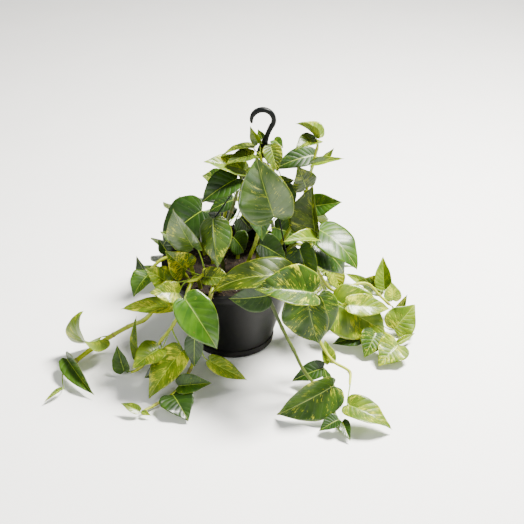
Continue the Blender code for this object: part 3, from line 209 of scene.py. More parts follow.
# Each climbing or trailing vine in front and at the sides: its route from
# the soil in millimetres, then its leaves.
VINES: dict[str, tuple[list, list[Leaf]]] = {
    "vine_crown": (
        [(25, -30, 150), (30, -34, 185), (45, -42, 235), (57, -34, 290), (58, -24, 335),
         (53, -16, 372), (49, -13, 388)],
        [Leaf(Tone.GLOSS, (74, -88, 306), (44, -50, 398), 0.95, (245, 32), 20, 25),
         Leaf(Tone.BRIGHT, (54, -45, 301), (57, -65, 246), 0.75, (260, 20), 20, 20),
         Leaf(Tone.DARK_AND_SHADED, (50, -12, 206), (96, 0, 168), 0.85, (275, 50), 15, 25),
         Leaf(Tone.LIME, (48, -8, 402), (34, -15, 436), 0.55, (250, 20), 30, 10),
         Leaf(Tone.OLIVE, (42, -14, 399), (-14, -30, 396), 0.5, (200, 60), 20, 35),
         Leaf(Tone.OLIVE, (40, -22, 390), (-7, -50, 395), 0.6, (230, 50), 15, 30)],
    ),
    "vine_crown_back": (
        [(45, 12, 150), (50, 14, 190), (62, 16, 250), (72, 14, 310), (74, 12, 355), (72, 10, 385)],
        [Leaf(Tone.GREEN, (74, 16, 395), (90, 0, 388), 0.9, (290, 45), 20, 40),
         Leaf(Tone.OLIVE, (68, -8, 395), (80, -30, 358), 0.8, (280, 35), 20, 20),
         Leaf(Tone.GREEN, (54, 12, 400), (47, 12, 418), 0.7, (280, 30), 10, 0),
         Leaf(Tone.OLIVE, (78, 10, 314), (109, 10, 324), 0.8, (280, 40), 15, 20),
         Leaf(Tone.DARK_AND_SHADED, (94, 0, 316), (110, -10, 278), 0.7, (280, 20), 20, 20),
         Leaf(Tone.GREEN, (78, 34, 216), (128, 48, 182), 0.85, (275, 45), 15, 25)],
    ),
    "vine_top_right": (
        [(70, 5, 150), (85, 6, 190), (112, 5, 245), (130, 5, 300), (140, 5, 350), (147, 2, 385),
         (149, 0, 398)],
        [Leaf(Tone.LIME, (147, 0, 407), (111, 20, 425), 1.0, (0, 55), 35, 40, 20),
         Leaf(Tone.OLIVE, (144, 5, 401), (99, -20, 393), 0.7, (250, 60), 15, 40),
         Leaf(Tone.LIME, (160, 10, 366), (176, 0, 388), 0.5, (300, 20), 25, 0),
         Leaf(Tone.LIME, (139, -14, 365), (192, -28, 383), 0.35, (290, 60), 30, 10, 0, 0.02),
         Leaf(Tone.DARK_AND_SHADED, (144, 30, 360), (72, 10, 341), 0.5, (260, 50), 15, 45),
         Leaf(Tone.OLIVE, (130, -10, 319), (112, -10, 361), 1.0, (285, 25), 15, 20, -10, 0.03),
         Leaf(Tone.GREEN, (140, 10, 269), (193, -5, 287), 0.75, (285, 40), 20, 15)],
    ),
    "vine_top_left": (
        [(-15, -10, 150), (-18, -10, 190), (-8, -14, 245), (8, -20, 300), (17, -26, 340),
         (23, -28, 354)],
        [Leaf(Tone.LIME, (27, -25, 360), (-40, -50, 389), 0.6, (240, 60), 15, 20, 0, 0.03),
         Leaf(Tone.DARK_AND_SHADED, (12, -38, 350), (-48, -72, 322), 0.72, (250, 45), 20, 35),
         Leaf(Tone.GLOSS, (-16, 0, 331), (-49, -5, 338), 1.0, (260, 30), 10, 10),
         Leaf(Tone.GLOSS, (-29, -60, 284), (-21, -100, 209), 0.75, (262, 15), -35, 40, 10, 0.02),
         Leaf(Tone.DARK_AND_SHADED, (-52, 10, 261), (-124, 0, 195), 0.95, (235, 40), 10, 40, -15),
         Leaf(Tone.DARK_AND_SHADED, (1, 20, 281), (-44, 10, 271), 0.9, (260, 50), 10, 30),
         Leaf(Tone.DARK_AND_SHADED, (4, 0, 212), (22, 22, 168), 0.9, (270, 50), 15, 25),
         Leaf(Tone.DARK_AND_SHADED, (16, 14, 244), (36, 40, 196), 0.85, (275, 40), 15, 25)],
    ),
    "vine_right": (
        [(80, -25, 150), (100, -25, 185), (125, -28, 205), (143, -34, 220)],
        [Leaf(Tone.OLIVE, (146, -40, 247), (138, -45, 340), 0.95, (225, 25), 30, 15, 10),
         Leaf(Tone.LIME, (145, -88, 264), (86, -112, 268), 0.5, (250, 65), 30, 30, 0, 0.02),
         Leaf(Tone.GREEN, (118, -50, 217), (144, -85, 161), 0.85, (255, 35), 15, 30)],
    ),
    "vine_right_back": (
        [(75, 25, 150), (95, 32, 190), (122, 36, 205), (142, 32, 210)],
        [Leaf(Tone.GREEN, (157, 15, 219), (224, -35, 166), 0.72, (310, 45), 10, 55, -20),
         Leaf(Tone.DARK_AND_SHADED, (145, 30, 179), (203, 20, 118), 0.8, (310, 40), 10, 70, -10)],
    ),
    "vine_left": (
        [(-45, -45, 150), (-46, -60, 182), (-47, -88, 191), (-58, -100, 188), (-76, -98, 182)],
        [Leaf(Tone.GLOSS, (-61, -55, 234), (-86, -60, 310), 0.85, (255, 25), 20, 15),
         Leaf(Tone.YELLOW, (-78, -70, 190), (-111, -80, 233), 1.0, (245, 50), 20, 25, 0, 0.02),
         Leaf(Tone.LIME, (-107, -85, 172), (-146, -95, 206), 0.9, (250, 50), 15, 20, 0, 0.02),
         Leaf(Tone.OLIVE, (-44, -95, 190), (6, -106, 194), 0.75, (275, 60), 15, 30, 0, 0.02),
         Leaf(Tone.PALE, (-88, -116, 170), (-137, -132, 182), 0.8, (255, 50), 10, 35, 0, 0.03)],
    ),
    "vine_left_low": (
        [(-70, -15, 150), (-84, -20, 183), (-118, -28, 186), (-142, -34, 168), (-152, -34, 150)],
        [Leaf(Tone.GLOSS, (-94, -35, 229), (-123, -35, 245), 0.7, (255, 40), 15, 20),
         Leaf(Tone.DARK_AND_SHADED, (-114, 0, 186), (-131, 0, 207), 0.9, (240, 30), 15, 10),
         Leaf(Tone.GREEN, (-148, -40, 159), (-172, -75, 135), 0.95, (235, 55), 20, 40, 0, 0.02),
         Leaf(Tone.DARK_AND_SHADED, (-151, -20, 142), (-169, -20, 186), 0.6, (240, 25), 25, 10)],
    ),
    "vine_front_left": (
        [(-55, -60, 150), (-62, -80, 180), (-72, -112, 174), (-80, -122, 150), (-100, -124, 110),
         (-122, -120, 75), (-142, -118, 42), (-160, -122, 18), (-180, -128, 8)],
        [Leaf(Tone.BRIGHT, (-74, -148, 179), (-21, -178, 97), 0.66, (285, 30), 18, 30, -10, 0.02),
         Leaf(Tone.GREEN, (-191, -124, 10), (-204, -101, 50), 0.75, (250, 25), 25, 10),
         Leaf(Tone.LIME, (-167, -109, 30), (-171, -68, 90), 0.35, (230, 10), 45, 5),
         Leaf(Tone.LIME, (-124, -146, 75), (-168, -183, 60), 0.85, (250, 60), 15, 30, 0, 0.02),
         Leaf(Tone.DARK_AND_SHADED, (-111, -142, 35), (-153, -150, 15), 0.8, (260, 60), 15, 20, 0, 0.02),
         Leaf(Tone.PALE, (-86, -140, 66), (-142, -200, 8), 0.6, (240, 45), 15, 20, 0, 0.02)],
    ),
    "vine_front_floor": (
        [(-20, -70, 150), (-25, -95, 180), (-33, -130, 176), (-42, -142, 135), (-54, -150, 90),
         (-70, -164, 45), (-92, -188, 18), (-125, -212, 8), (-150, -234, 8)],
        [Leaf(Tone.GREEN, (-89, -189, 28), (-32, -190, 35), 0.75, (265, 50), 35, 10, 0, 0.02),
         Leaf(Tone.DARK_AND_SHADED, (-98, -206, 22), (-69, -257, 8), 1.0, (280, 60), 10, 30, 0, 0.02),
         Leaf(Tone.LIME, (-154, -237, 12), (-185, -228, 22), 0.55, (255, 60), 20, 20),
         Leaf(Tone.LIME, (-152, -237, 12), (-137, -245, 8), 0.6, (280, 60), 20, 10),
         Leaf(Tone.PALE, (-36, -160, 60), (29, -160, 18), 0.42, (285, 50), 15, -25, 0, 0.03),
         Leaf(Tone.DARK_AND_SHADED, (-60, -170, 120), (-62, -176, 58), 0.55, (265, 15), 20, 20)],
    ),
    "vine_far_left": (
        [(-75, -50, 150), (-90, -64, 184), (-113, -82, 172), (-126, -90, 140), (-152, -72, 88),
         (-192, -50, 52), (-240, -58, 24), (-281, -92, 9), (-296, -115, 7)],
        [Leaf(Tone.LIME, (-241, -58, 30), (-266, -56, 95), 0.72, (218, 15), 15, 165),
         Leaf(Tone.PALE, (-100, -116, 143), (-192, -106, 132), 0.4, (255, 70), 15, 15, 0, 0.02),
         Leaf(Tone.GREEN, (-293, -109, 25), (-236, -192, 10), 0.42, (220, 45), 40, 15),
         Leaf(Tone.LIME, (-294, -180, 14), (-320, -208, 8), 0.3, (250, 60), 40, 0)],
    ),
    "vine_front": (
        [(55, -65, 150), (70, -90, 182), (90, -116, 180), (115, -124, 172), (136, -118, 165)],
        [Leaf(Tone.STREAK, (138, -168, 206), (41, -178, 220), 0.85, (268, 58), 32, 30, 0, 0.02),
         Leaf(Tone.OLIVE, (112, -118, 200), (-36, -132, 180), 0.42, (265, 70), 15, 80, 0, 0.02),
         Leaf(Tone.STREAK, (130, -140, 177), (151, -162, 97), 1.1, (240, 25), 28, 25, 0, 0.02),
         Leaf(Tone.DARK_AND_SHADED, (64, -128, 171), (-3, -142, 166), 0.75, (265, 20), 10, 30)],
    ),
    "vine_front_right": (
        [(85, -42, 150), (110, -48, 184), (132, -64, 178), (146, -84, 168)],
        [Leaf(Tone.GREEN, (151, -100, 154), (161, -118, 76), 0.8, (305, 25), 20, 20)],
    ),
    "vine_right_floor": (
        [(72, -52, 150), (90, -78, 184), (110, -94, 176), (126, -106, 140), (142, -118, 105),
         (160, -134, 70), (177, -150, 52), (200, -165, 46), (206, -176, 44), (203, -205, 42)],
        [Leaf(Tone.LIME, (174, -145, 48), (164, -121, 80), 0.65, (290, 25), 20, 10),
         Leaf(Tone.LIME, (199, -249, 35), (271, -281, 10), 0.6, (285, 55), 15, 40, 0, 0.02, -40)],
    ),
    "vine_right_thin": (
        [(38, -80, 150), (46, -105, 182), (62, -124, 174), (78, -128, 135), (92, -136, 104),
         (108, -152, 78), (126, -168, 45), (146, -180, 24), (168, -205, 16), (176, -240, 12),
         (182, -262, 10)],
        [Leaf(Tone.DARK_AND_SHADED, (166, -149, 40), (115, -176, 20), 0.6, (260, 60), 20, 30),
         Leaf(Tone.GREEN, (168, -184, 30), (161, -165, 50), 0.6, (290, 40), 15, 10),
         Leaf(Tone.STREAK, (173, -230, 60), (78, -243, 8), 0.75, (288, 18), 30, 15, 0, 0.02),
         Leaf(Tone.DARK_AND_SHADED, (180, -272, 22), (148, -286, 10), 0.8, (250, 70), 20, 20),
         Leaf(Tone.DARK_AND_SHADED, (185, -272, 20), (197, -306, 8), 0.6, (280, 60), 25, 20)],
    ),
    "vine_arch": (
        [(90, 15, 150), (108, 20, 184), (134, 28, 174), (152, 32, 132), (172, 32, 94),
         (188, 30, 80), (212, 36, 83), (238, 46, 85), (256, 50, 79), (274, 46, 60), (290, 43, 44),
         (300, 42, 36)],
        [Leaf(Tone.LIME, (288, 80, 50), (286, 119, 100), 0.6, (255, 20), 30, 15, 0, 0.02),
         Leaf(Tone.OLIVE, (286, 84, 50), (241, 107, 60), 0.8, (250, 55), 15, 25, 0, 0.02),
         Leaf(Tone.LIME, (259, 102, 45), (215, 137, 50), 0.35, (240, 60), 25, 10),
         Leaf(Tone.PALE, (299, 51, 40), (304, 79, 60), 1.0, (260, 40), 10, 10),
         Leaf(Tone.OLIVE, (306, 19, 25), (318, 48, 60), 0.5, (230, 20), 30, 10),
         Leaf(Tone.LIME, (299, -2, 15), (336, 32, 50), 1.0, (280, 45), 10, 25, 0, 0.03),
         Leaf(Tone.PALE, (185, 55, 113), (200, 40, 65), 0.7, (285, 30), 15, 20, 0, 0.02),
         Leaf(Tone.PALE, (183, 50, 101), (159, 50, 123), 0.7, (270, 50), 15, 10)],
    ),
    "vine_low_right": (
        [(90, -12, 150), (110, -12, 184), (136, -6, 172), (155, 0, 130), (172, 8, 92),
         (190, 16, 50), (226, 14, 20), (266, 4, 11), (296, -22, 9), (301, -52, 9)],
        [Leaf(Tone.PALE, (212, -22, 83), (290, -12, 67), 0.55, (275, 55), 10, 20, 0, 0.05),
         Leaf(Tone.LIME, (186, -6, 76), (285, -24, 26), 0.88, (262, 40), 12, 35, -10, 0.02),
         Leaf(Tone.STREAK, (262, -43, 35), (239, -82, 8), 0.95, (275, 50), 15, 30, 0, 0.02),
         Leaf(Tone.DARK_AND_SHADED, (237, -42, 25), (183, -43, 10), 0.7, (260, 75), 10, 20),
         Leaf(Tone.LIME, (304, -43, 12), (338, -19, 18), 0.35, (290, 60), 30, 0),
         Leaf(Tone.LIME, (301, -66, 25), (262, -107, 8), 1.0, (270, 60), 12, 25, 0, 0.03)],
    ),
}

# Vines with a stout fleshy stem.
STOUT_VINES = ("vine_far_left",)
# Vines that the rule grows round the back: azimuth in degrees, how far the
# tip trails from the axis in millimetres, and the number of leaves.
BACK_VINES = ((38, 235, 5), (56, 260, 4), (75, 215, 4), (96, 255, 4), (115, 225, 5), (133, 215, 4))
# The rule's leaves look to the back, between these azimuths.
RULE_AZIMUTHS = (48, 114)
# Vines that climb the hanger from behind: root, top and number of leaves.
BACK_CLIMBERS = (((10, 45), (52, 26, 352), 6), ((-35, 25), (6, 20, 318), 4))
MOUND_CENTRE = np.array((20.0, 0.0))
RULE_SEED = 7
TRIES = 110
STRICT_TRIES = 45


# --------------------------------------------------------------- geometry
def unit(vector: Sequence[float]) -> np.ndarray:
    """The vector at length 1."""
    vector = np.asarray(vector, float)
    return vector / np.linalg.norm(vector)


def direction(azimuth: float, elevation: float) -> np.ndarray:
    """The unit vector at an azimuth and elevation in degrees.

    Args:
        azimuth: Angle from +X towards +Y.
        elevation: Angle up from the ground.

    Returns:
        The direction.
    """
    azimuth, elevation = math.radians(azimuth), math.radians(elevation)
    return np.array((math.cos(elevation) * math.cos(azimuth),
                     math.cos(elevation) * math.sin(azimuth), math.sin(elevation)))


def revolved(profile: Sequence[tuple[float, float]], segments: int) -> Mesh:
    """Turn a profile about Z.

    Args:
        profile: Points of radius and height; a point at radius 0 closes on the axis.
        segments: Number of sides.

    Returns:
        Vertices and faces.
    """
    verts, faces, rings = [], [], []
    for radius, z in profile:
        if radius == 0:
            rings.append([len(verts)] * segments)
            verts.append((0.0, 0.0, z))
            continue
        rings.append([len(verts) + i for i in range(segments)])
        for i in range(segments):
            angle = 2 * math.pi * i / segments
            verts.append((radius * math.cos(angle), radius * math.sin(angle), z))
    closed = profile[0][0] != 0
    pairs = list(zip(rings, rings[1:] + ([rings[0]] if closed else [])))
    for lower, upper in pairs[: None if closed else len(rings) - 1]:
        for i in range(segments):
            j = (i + 1) % segments
            face = []
            for index in (lower[i], lower[j], upper[j], upper[i]):
                if index not in face:
                    face.append(index)
            if len(face) > 2:
                faces.append(tuple(face))
    return verts, faces


def smooth_route(points: Sequence[Sequence[float]], step: float) -> list[np.ndarray]:
    """Points about a step apart on the smooth curve through the route's points.

    Args:
        points: Points that the curve passes.
        step: Rough distance between the new points.

    Returns:
        The new points, with both ends.
    """
    knots = [np.array(p, float) for p in points]
    knots = [2 * knots[0] - knots[1], *knots, 2 * knots[-1] - knots[-2]]
    route = []
    for a, b, c, d in zip(knots, knots[1:], knots[2:], knots[3:]):
        count = max(1, round(float(np.linalg.norm(c - b)) / step))
        for i in range(count):
            t = i / count
            route.append(0.5 * (2 * b + (c - a) * t + (2 * a - 5 * b + 4 * c - d) * t * t
                                + (3 * b - a - 3 * c + d) * t ** 3))
    return [*route, knots[-2]]


def tube(points: Sequence[Sequence[float]], radii: Sequence[float], sides: int) -> Mesh:
    """A closed tube along points, its rings carried along without twist.

    Args:
        points: Its centre line.
        radii: Its radius at each point.
        sides: Number of sides.

    Returns:
        Vertices and faces.
    """
    points = [np.array(p, float) for p in points]
    tangents = [unit(points[min(i + 1, len(points) - 1)] - points[max(i - 1, 0)])
                for i in range(len(points))]
    side = unit(np.cross(tangents[0], (0.3, 1.0, 0.2)))
    verts, faces = [], []
    for point, tangent, radius in zip(points, tangents, radii):
        side = unit(side - tangent * np.dot(side, tangent))
        other = np.cross(tangent, side)
        for i in range(sides):
            angle = 2 * math.pi * i / sides
            verts.append(point + radius * (math.cos(angle) * side + math.sin(angle) * other))
    for ring in range(len(points) - 1):
        for i in range(sides):
            j = (i + 1) % sides
            faces.append((ring * sides + i, ring * sides + j,
                          (ring + 1) * sides + j, (ring + 1) * sides + i))
    faces.append(tuple(range(sides - 1, -1, -1)))
    faces.append(tuple((len(points) - 1) * sides + i for i in range(sides)))
    return verts, faces


def eased(knots: np.ndarray, places: np.ndarray) -> np.ndarray:
    """Values on the smooth curve through rows of knots.

    Args:
        knots: One row for each knot, with as many columns as there are values.
        places: Where to read the curve, from 0 at the first knot to 1 at the last.

    Returns:
        One row of values for each place.
    """
    gaps = np.sqrt(np.linalg.norm(np.diff(knots, axis=0), axis=1) + 1e-9)
    marks = np.concatenate(([0.0], np.cumsum(gaps))) / gaps.sum()
    steps = np.diff(marks)[:, None]
    slopes = np.diff(knots, axis=0) / steps
    inner = (slopes[1:] * steps[:-1] + slopes[:-1] * steps[1:]) / (steps[1:] + steps[:-1])
    turns = np.vstack((slopes[:1], inner, slopes[-1:]))
    index = np.clip(np.searchsorted(marks, places, side="right") - 1, 0, len(knots) - 2)
    width = steps[index]
    t = ((places - marks[index])[:, None]) / width
    start, end = knots[index], knots[index + 1]
    return ((2 * t ** 3 - 3 * t ** 2 + 1) * start + (t ** 3 - 2 * t ** 2 + t) * width * turns[index]
            + (3 * t ** 2 - 2 * t ** 3) * end + (t ** 3 - t ** 2) * width * turns[index + 1])


class MeshParts:
    """Collects the parts of one mesh with the values that their finish reads."""

    def __init__(self, *value_names: str) -> None:
        """Start empty, with the names of the vector values that each point carries.

        Args:
            *value_names: The values' names.
        """
        self.points: list[np.ndarray] = []
        self.faces: list[tuple[int, ...]] = []
        self.slots: list[int] = []
        self.values: dict[str, list[np.ndarray]] = {name: [] for name in value_names}
        self.count = 0

    def add(self, points: Sequence, faces: Sequence, slot: int = 0, **values: np.ndarray) -> None:
        """Add one part.

        Args:
            points: Its points.
            faces: Its faces, counted from its first point.
            slot: The material's number on the finished mesh.
            **values: A vector for each named value, or one for each point.
        """
        points = np.asarray(points, float).reshape(-1, 3)
        self.points.append(points)
        self.faces += [tuple(i + self.count for i in face) for face in faces]
        self.slots += [slot] * len(faces)
        for name, store in self.values.items():
            given = np.asarray(values.get(name, (0.0, 0.0, 0.0)), float)
            store.append(np.broadcast_to(given, points.shape).copy())
        self.count += len(points)

    def build(self, name: str, materials: Sequence[bpy.types.Material], sharp: float | None = None,
              ) -> bpy.types.Object:
        """Make the object.

        Args:
            name: The piece's name.
            materials: Its materials, in the order of the slots.
            sharp: Angle in degrees above which edges stay hard.

        Returns:
            The new object, smooth shaded.
        """
        mesh = bpy.data.meshes.new(name)
        mesh.from_pydata(np.concatenate(self.points).tolist(), [], self.faces)
        mesh.shade_smooth()
        if sharp is not None:
            mesh.set_sharp_from_angle(angle=math.radians(sharp))
        for value_name, store in self.values.items():
            layer = mesh.attributes.new(value_name, "FLOAT_VECTOR", "POINT")
            layer.data.foreach_set("vector", np.concatenate(store).astype(np.float32).ravel())
        for material in materials:
            mesh.materials.append(material)
        mesh.polygons.foreach_set("material_index", np.array(self.slots, np.int32))
        mesh.validate()
        piece = bpy.data.objects.new(name, mesh)
        bpy.context.scene.collection.objects.link(piece)
        return piece


def seat(piece: bpy.types.Object, slot: str, *nodes: str) -> None:
    """Ride a piece on the part and hide the solids that it stands for.

    Args:
        piece: The new piece.
        slot: The name of its finish; not used.
        *nodes: The solids that it replaces.
    """
    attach(piece, "root")
    if nodes:
        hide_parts(*nodes)
    LOG.info("%s: %d faces", piece.name, len(piece.data.polygons))


# --------------------------------------------------------- basket's solids
def pot_inner_radius(z: float) -> float:
    """Radius of the pot's inner wall at a height.

    Args:
        z: The height.

    Returns:
        The radius.
    """
    floor = SAUCER_THICKNESS + CLEARANCE + POT_FLOOR_Z
    share = (z - floor) / (POT_HEIGHT - floor)
    return POT_BASE_RADIUS + share * (POT_TOP_RADIUS - POT_BASE_RADIUS) - POT_WALL


def pot_profile() -> list[tuple[float, float]]:
    """The pot's section as radius and height, from under its floor round to the inside.

    Returns:
        Points of radius and height.
    """
    floor = SAUCER_THICKNESS + CLEARANCE
    skirt_inner = POT_RIM_RADIUS - POT_WALL
    return [
        (0, floor), (POT_BASE_RADIUS - 2 * MM, floor), (POT_BASE_RADIUS, floor + 2 * MM),
        (POT_TOP_RADIUS, POT_HEIGHT - RIM_THICKNESS),
        (skirt_inner, POT_HEIGHT - RIM_THICKNESS),
        (skirt_inner, POT_HEIGHT - RIM_SKIRT), (POT_RIM_RADIUS, POT_HEIGHT - RIM_SKIRT),
        (POT_RIM_RADIUS, POT_HEIGHT - 1.2 * MM), (POT_RIM_RADIUS - 1.2 * MM, POT_HEIGHT),
        (POT_TOP_RADIUS - POT_WALL, POT_HEIGHT),
        (POT_BASE_RADIUS - POT_WALL, floor + POT_FLOOR_Z), (0, floor + POT_FLOOR_Z),
    ]


def saucer_profile() -> list[tuple[float, float]]:
    """The saucer's section as radius and height, from underneath round to the inside.

    Returns:
        Points of radius and height.
    """
    inner = SAUCER_RADIUS - 1.8 * MM
    flare = 0.8 * MM
    return [
        (0, 0), (POT_BASE_RADIUS + CLEARANCE, 0), (SAUCER_RADIUS - flare, 3 * MM),
        (SAUCER_RADIUS, SAUCER_HEIGHT), (inner, SAUCER_HEIGHT),
        (inner - flare, SAUCER_THICKNESS + 1.5 * MM), (POT_BASE_RADIUS, SAUCER_THICKNESS),
        (0, SAUCER_THICKNESS),
    ]


def hook_sections() -> list[tuple[Vector, float, float]]:
    """Centre, half width in the hook's plane and half depth, tip to base.

    Returns:
        Centre, half width and half depth of each section.
    """
    sections = []
    steps = 14
    for step in range(steps + 1):
        angle = math.radians(198 - 238 * step / steps)
        centre = HOOK_CENTRE + HOOK_BEND_RADIUS * Vector((math.cos(angle), 0, math.sin(angle)))
        swell = min(1.0, 0.55 + 0.13 * step)
        sections.append((centre, 4.3 * MM * swell, 4.8 * MM * swell))
    for x, z, half_width, half_depth in (
        (63.0, 413.0, 4.2, 4.4), (59.0, 401.0, 5.6, 4.2),
        (56.0, 387.0, 9.2, 4.0), (54.5, 371.0, 11.6, 3.8),
    ):
        sections.append((Vector((x, 0, z)) * MM, half_width * MM, half_depth * MM))
    return sections


def loft(sections: Sequence[tuple[Vector, float, float]], sides: int) -> Mesh:
    """A closed rounded bar through sections that stand across the XZ plane.

    Args:
        sections: Centre, half width and half depth of each section.
        sides: Number of sides.

    Returns:
        Vertices and faces.
    """
    verts, faces = [], []
    for index, (centre, half_width, half_depth) in enumerate(sections):
        ahead = sections[min(index + 1, len(sections) - 1)][0]
        behind = sections[max(index - 1, 0)][0]
        along = (ahead - behind).normalized()
        if index == len(sections) - 1:
            along = Vector((0, 0, -1))
        across = Vector((0, 1, 0)).cross(along)
        for i in range(sides):
            angle = 2 * math.pi * (i + 0.5) / sides
            # a rounded rectangle: the circle's sides are pushed out
            c, s = math.cos(angle), math.sin(angle)
            c, s = (math.copysign(abs(v) ** 0.7, v) for v in (c, s))
            verts.append(centre + across * (half_width * c) + Vector((0, half_depth * s, 0)))
    for ring in range(len(sections) - 1):
        for i in range(sides):
            j = (i + 1) % sides
            faces.append((ring * sides + j, ring * sides + i,
                          (ring + 1) * sides + i, (ring + 1) * sides + j))
    faces.append(tuple(range(sides)))
    faces.append(tuple(len(verts) - 1 - i for i in range(sides)))
    return verts, faces


def strand_routes() -> list[list[np.ndarray]]:
    """The route of each strand, from its socket in the hook to its clip in the rim.

    Returns:
        One list of points for each strand.
    """
    routes = []
    sockets = (46.5 * MM, 62.5 * MM, 54.5 * MM)
    for x, azimuth in zip(sockets, STRAND_AZIMUTHS):
        clip = CLIP_CIRCLE * direction(azimuth, 0)
        top = np.array((x, 0, HOOK_BASE_Z - 2 * MM))
        low = np.array((clip[0], clip[1], POT_HEIGHT + 1 * MM))
        run = low - top
        routes.append([
            top + (0, 0, SOCKET_DEPTH + 1.4 * MM), top,
            top + run * 0.03 + (0, 0, -3 * MM), top + run * 0.10,
            top + run * 0.88, top + run * 0.965 + (0, 0, 3 * MM),
            low, low - (0, 0, 5 * MM),
        ])
    return routes


def strand_solid(route: list[np.ndarray], knob: Sequence[tuple[float, float]], spacing: float,
                 sides: int) -> Mesh:
    """One strand with the knob that keeps it in its hole below the rim.

    Args:
        route: The points that it runs through.
        knob: Drop in millimetres and radius at each step of the knob.
        spacing: Distance between the rings.
        sides: Number of sides.

    Returns:
        Vertices and faces.
    """
    points = smooth_route(route, spacing)
    radii = [STRAND_RADIUS] * len(points)
    end = points[-1]
    for drop, radius in knob:
        points.append(end - np.array((0, 0, drop * MM)))
        radii.append(radius)
    return tube(points, radii, sides)


def basket_solids() -> list[Mesh]:
    """The solids that no leaf may cross.

    Returns:
        Vertices and faces of each.
    """
    knob = ((0.6, STRAND_RADIUS), (1.4, KNOB_RADIUS), (3.2, KNOB_RADIUS), (4.0, STRAND_RADIUS))
    strands = [strand_solid(route, knob, STRAND_SPACING, STRAND_SIDES) for route in strand_routes()]
    return [revolved(pot_profile(), POT_SEGMENTS), loft(hook_sections(), HOOK_SIDES), *strands]


# ---------------------------------------------------- foliage's solids
class Blade:
    """The curved surface of one leaf blade.

    It is read at a, the share of the midrib's length from foot to tip, and at
    b, the distance to the left of the midrib in blade lengths.
    """

    def __init__(self, leaf: Leaf) -> None:
        """Work out the blade's axes from its leaf.

        Args:
            leaf: Where it goes and how it is shaped.
        """
        self.leaf = leaf
        self.foot = np.array(leaf.foot, float) * MM
        chord = np.array(leaf.tip, float) * MM - self.foot
        self.reach = float(np.linalg.norm(chord))
        self.along = unit(chord)
        normal = direction(*leaf.face)
        self.up = unit(normal - self.along * np.dot(normal, self.along))
        self.left = np.cross(self.up, self.along)
        self.bend = math.radians(leaf.bend) or 1e-4
        self.length = self.reach * self.bend / (2 * math.sin(self.bend / 2))
        self.spread = leaf.width / NOMINAL_WIDTH
        self.small = self.reach < SMALL_BLADE
        self.outline = SMALL_OUTLINE if self.small else HALF_OUTLINE

    def frame(self, a: float | np.ndarray) -> tuple[np.ndarray, np.ndarray, np.ndarray]:
        """Midrib points, their left directions and their upward normals.

        Args:
            a: Share of the midrib's length from the foot, or many of them.

        Returns:
            The points, the left directions and the normals.
        """
        a = np.asarray(a, float)[..., None]
        start, here = self.bend / 2, self.bend / 2 - self.bend * a
        scale = self.length / self.bend
        point = (self.foot + self.along * scale * (math.sin(start) - np.sin(here))
                 + self.up * scale * (np.cos(here) - math.cos(start)))
        normal = self.up * np.cos(here) - self.along * np.sin(here)
        turn = math.radians(self.leaf.twist) * a
        left = self.left * np.cos(turn) + normal * np.sin(turn)
        return point, left, normal * np.cos(turn) - self.left * np.sin(turn)

    def tangent(self, a: float) -> np.ndarray:
        """Direction of the midrib."""
        here = self.bend / 2 - self.bend * a
        return self.along * math.cos(here) + self.up * math.sin(here)

    def surface(self, a: np.ndarray, b: np.ndarray, lift: float | np.ndarray = 0.0) -> np.ndarray:
        """Points of the upper surface, raised off it by lift.

        Args:
            a: Places along the midrib.
            b: Places to the left of it.
            lift: Height above the surface.

        Returns:
            The points.
        """
        a, b = np.broadcast_arrays(np.asarray(a, float), np.asarray(b, float))
        base, left, normal = self.frame(a)
        out = np.abs(b) * self.length
        fold = math.radians(self.leaf.fold)
        curl = math.radians(self.leaf.cup) / (0.4 * self.length)
        if abs(curl) > 1e-6:
            side = (np.sin(fold + curl * out) - math.sin(fold)) / curl
            rise = (math.cos(fold) - np.cos(fold + curl * out)) / curl
        else:
            side, rise = out * math.cos(fold), out * math.sin(fold)
        phase = 17 * self.reach / MM + np.where(b > 0, 1.9, 0.0)
        ripple = self.leaf.wave * self.length * (b / 0.4) ** 2 * np.sin(13 * a + phase)
        return (base + left * np.copysign(side, b)[..., None]
                + normal * (rise + ripple + lift)[..., None])

    def places(self) -> list[list[tuple[float, float]]]:
        """Rows of places from the left margin to the right one, from foot to tip.

        Returns:
            The rows.
        """
        rows = [[(0.0, 0.0)]]
        for a, b, start in self.outline:
            b = b * self.spread
            if self.reach > LARGE_BLADE and a > -0.05:
                middle = (a + start) / 2
                rows.append([(a, b), (middle, b / 2), (start, 0.0), (middle, -b / 2), (a, -b)])
            else:
                rows.append([(a, b), (start, 0.0), (a, -b)])
        rows.append([(1.0, 0.0)])
        return rows

    def solid(self, above: float = 0.0, below: float = BLADE_THICKNESS) -> Mesh:
        """The closed blade in few faces, raised by above and lowered by below.

        Args:
            above: How far its top is raised.
            below: How far its underside is lowered.

        Returns:
            Vertices and faces.
        """
        index: dict[tuple[float, float], int] = {}
        rows = [[index.setdefault(place, len(index)) for place in row] for row in self.places()]
        triangles = []
        for before, after in zip(rows, rows[1:]):
            half_before, half_after = (len(before) + 1) // 2, (len(after) + 1) // 2
            triangles += zipped(before[:half_before], after[:half_after])
            left_over = zipped(before[::-1][:half_before], after[::-1][:half_after])
            triangles += [(a, c, b) for a, b, c in left_over]
        triangles = [t for t in triangles if len(set(t)) == 3]
        points = self.surface(*np.array(list(index)).T)
        return thickened(points, triangles, above, below)


def zipped(before: Sequence[int], after: Sequence[int]) -> list[tuple[int, int, int]]:
    """Triangles between two rows that both start at the margin.

    Args:
        before: Corners of one row.
        after: Corners of the next row.

    Returns:
        The triangles.
    """
    triangles = []
    i, j = len(before) - 1, len(after) - 1
    while i > 0 or j > 0:
        if j > 0 and (i == 0 or j >= i):
            triangles.append((before[i], after[j], after[j - 1]))
            j -= 1
        else:
            triangles.append((before[i], after[j], before[i - 1]))
            i -= 1
    return triangles


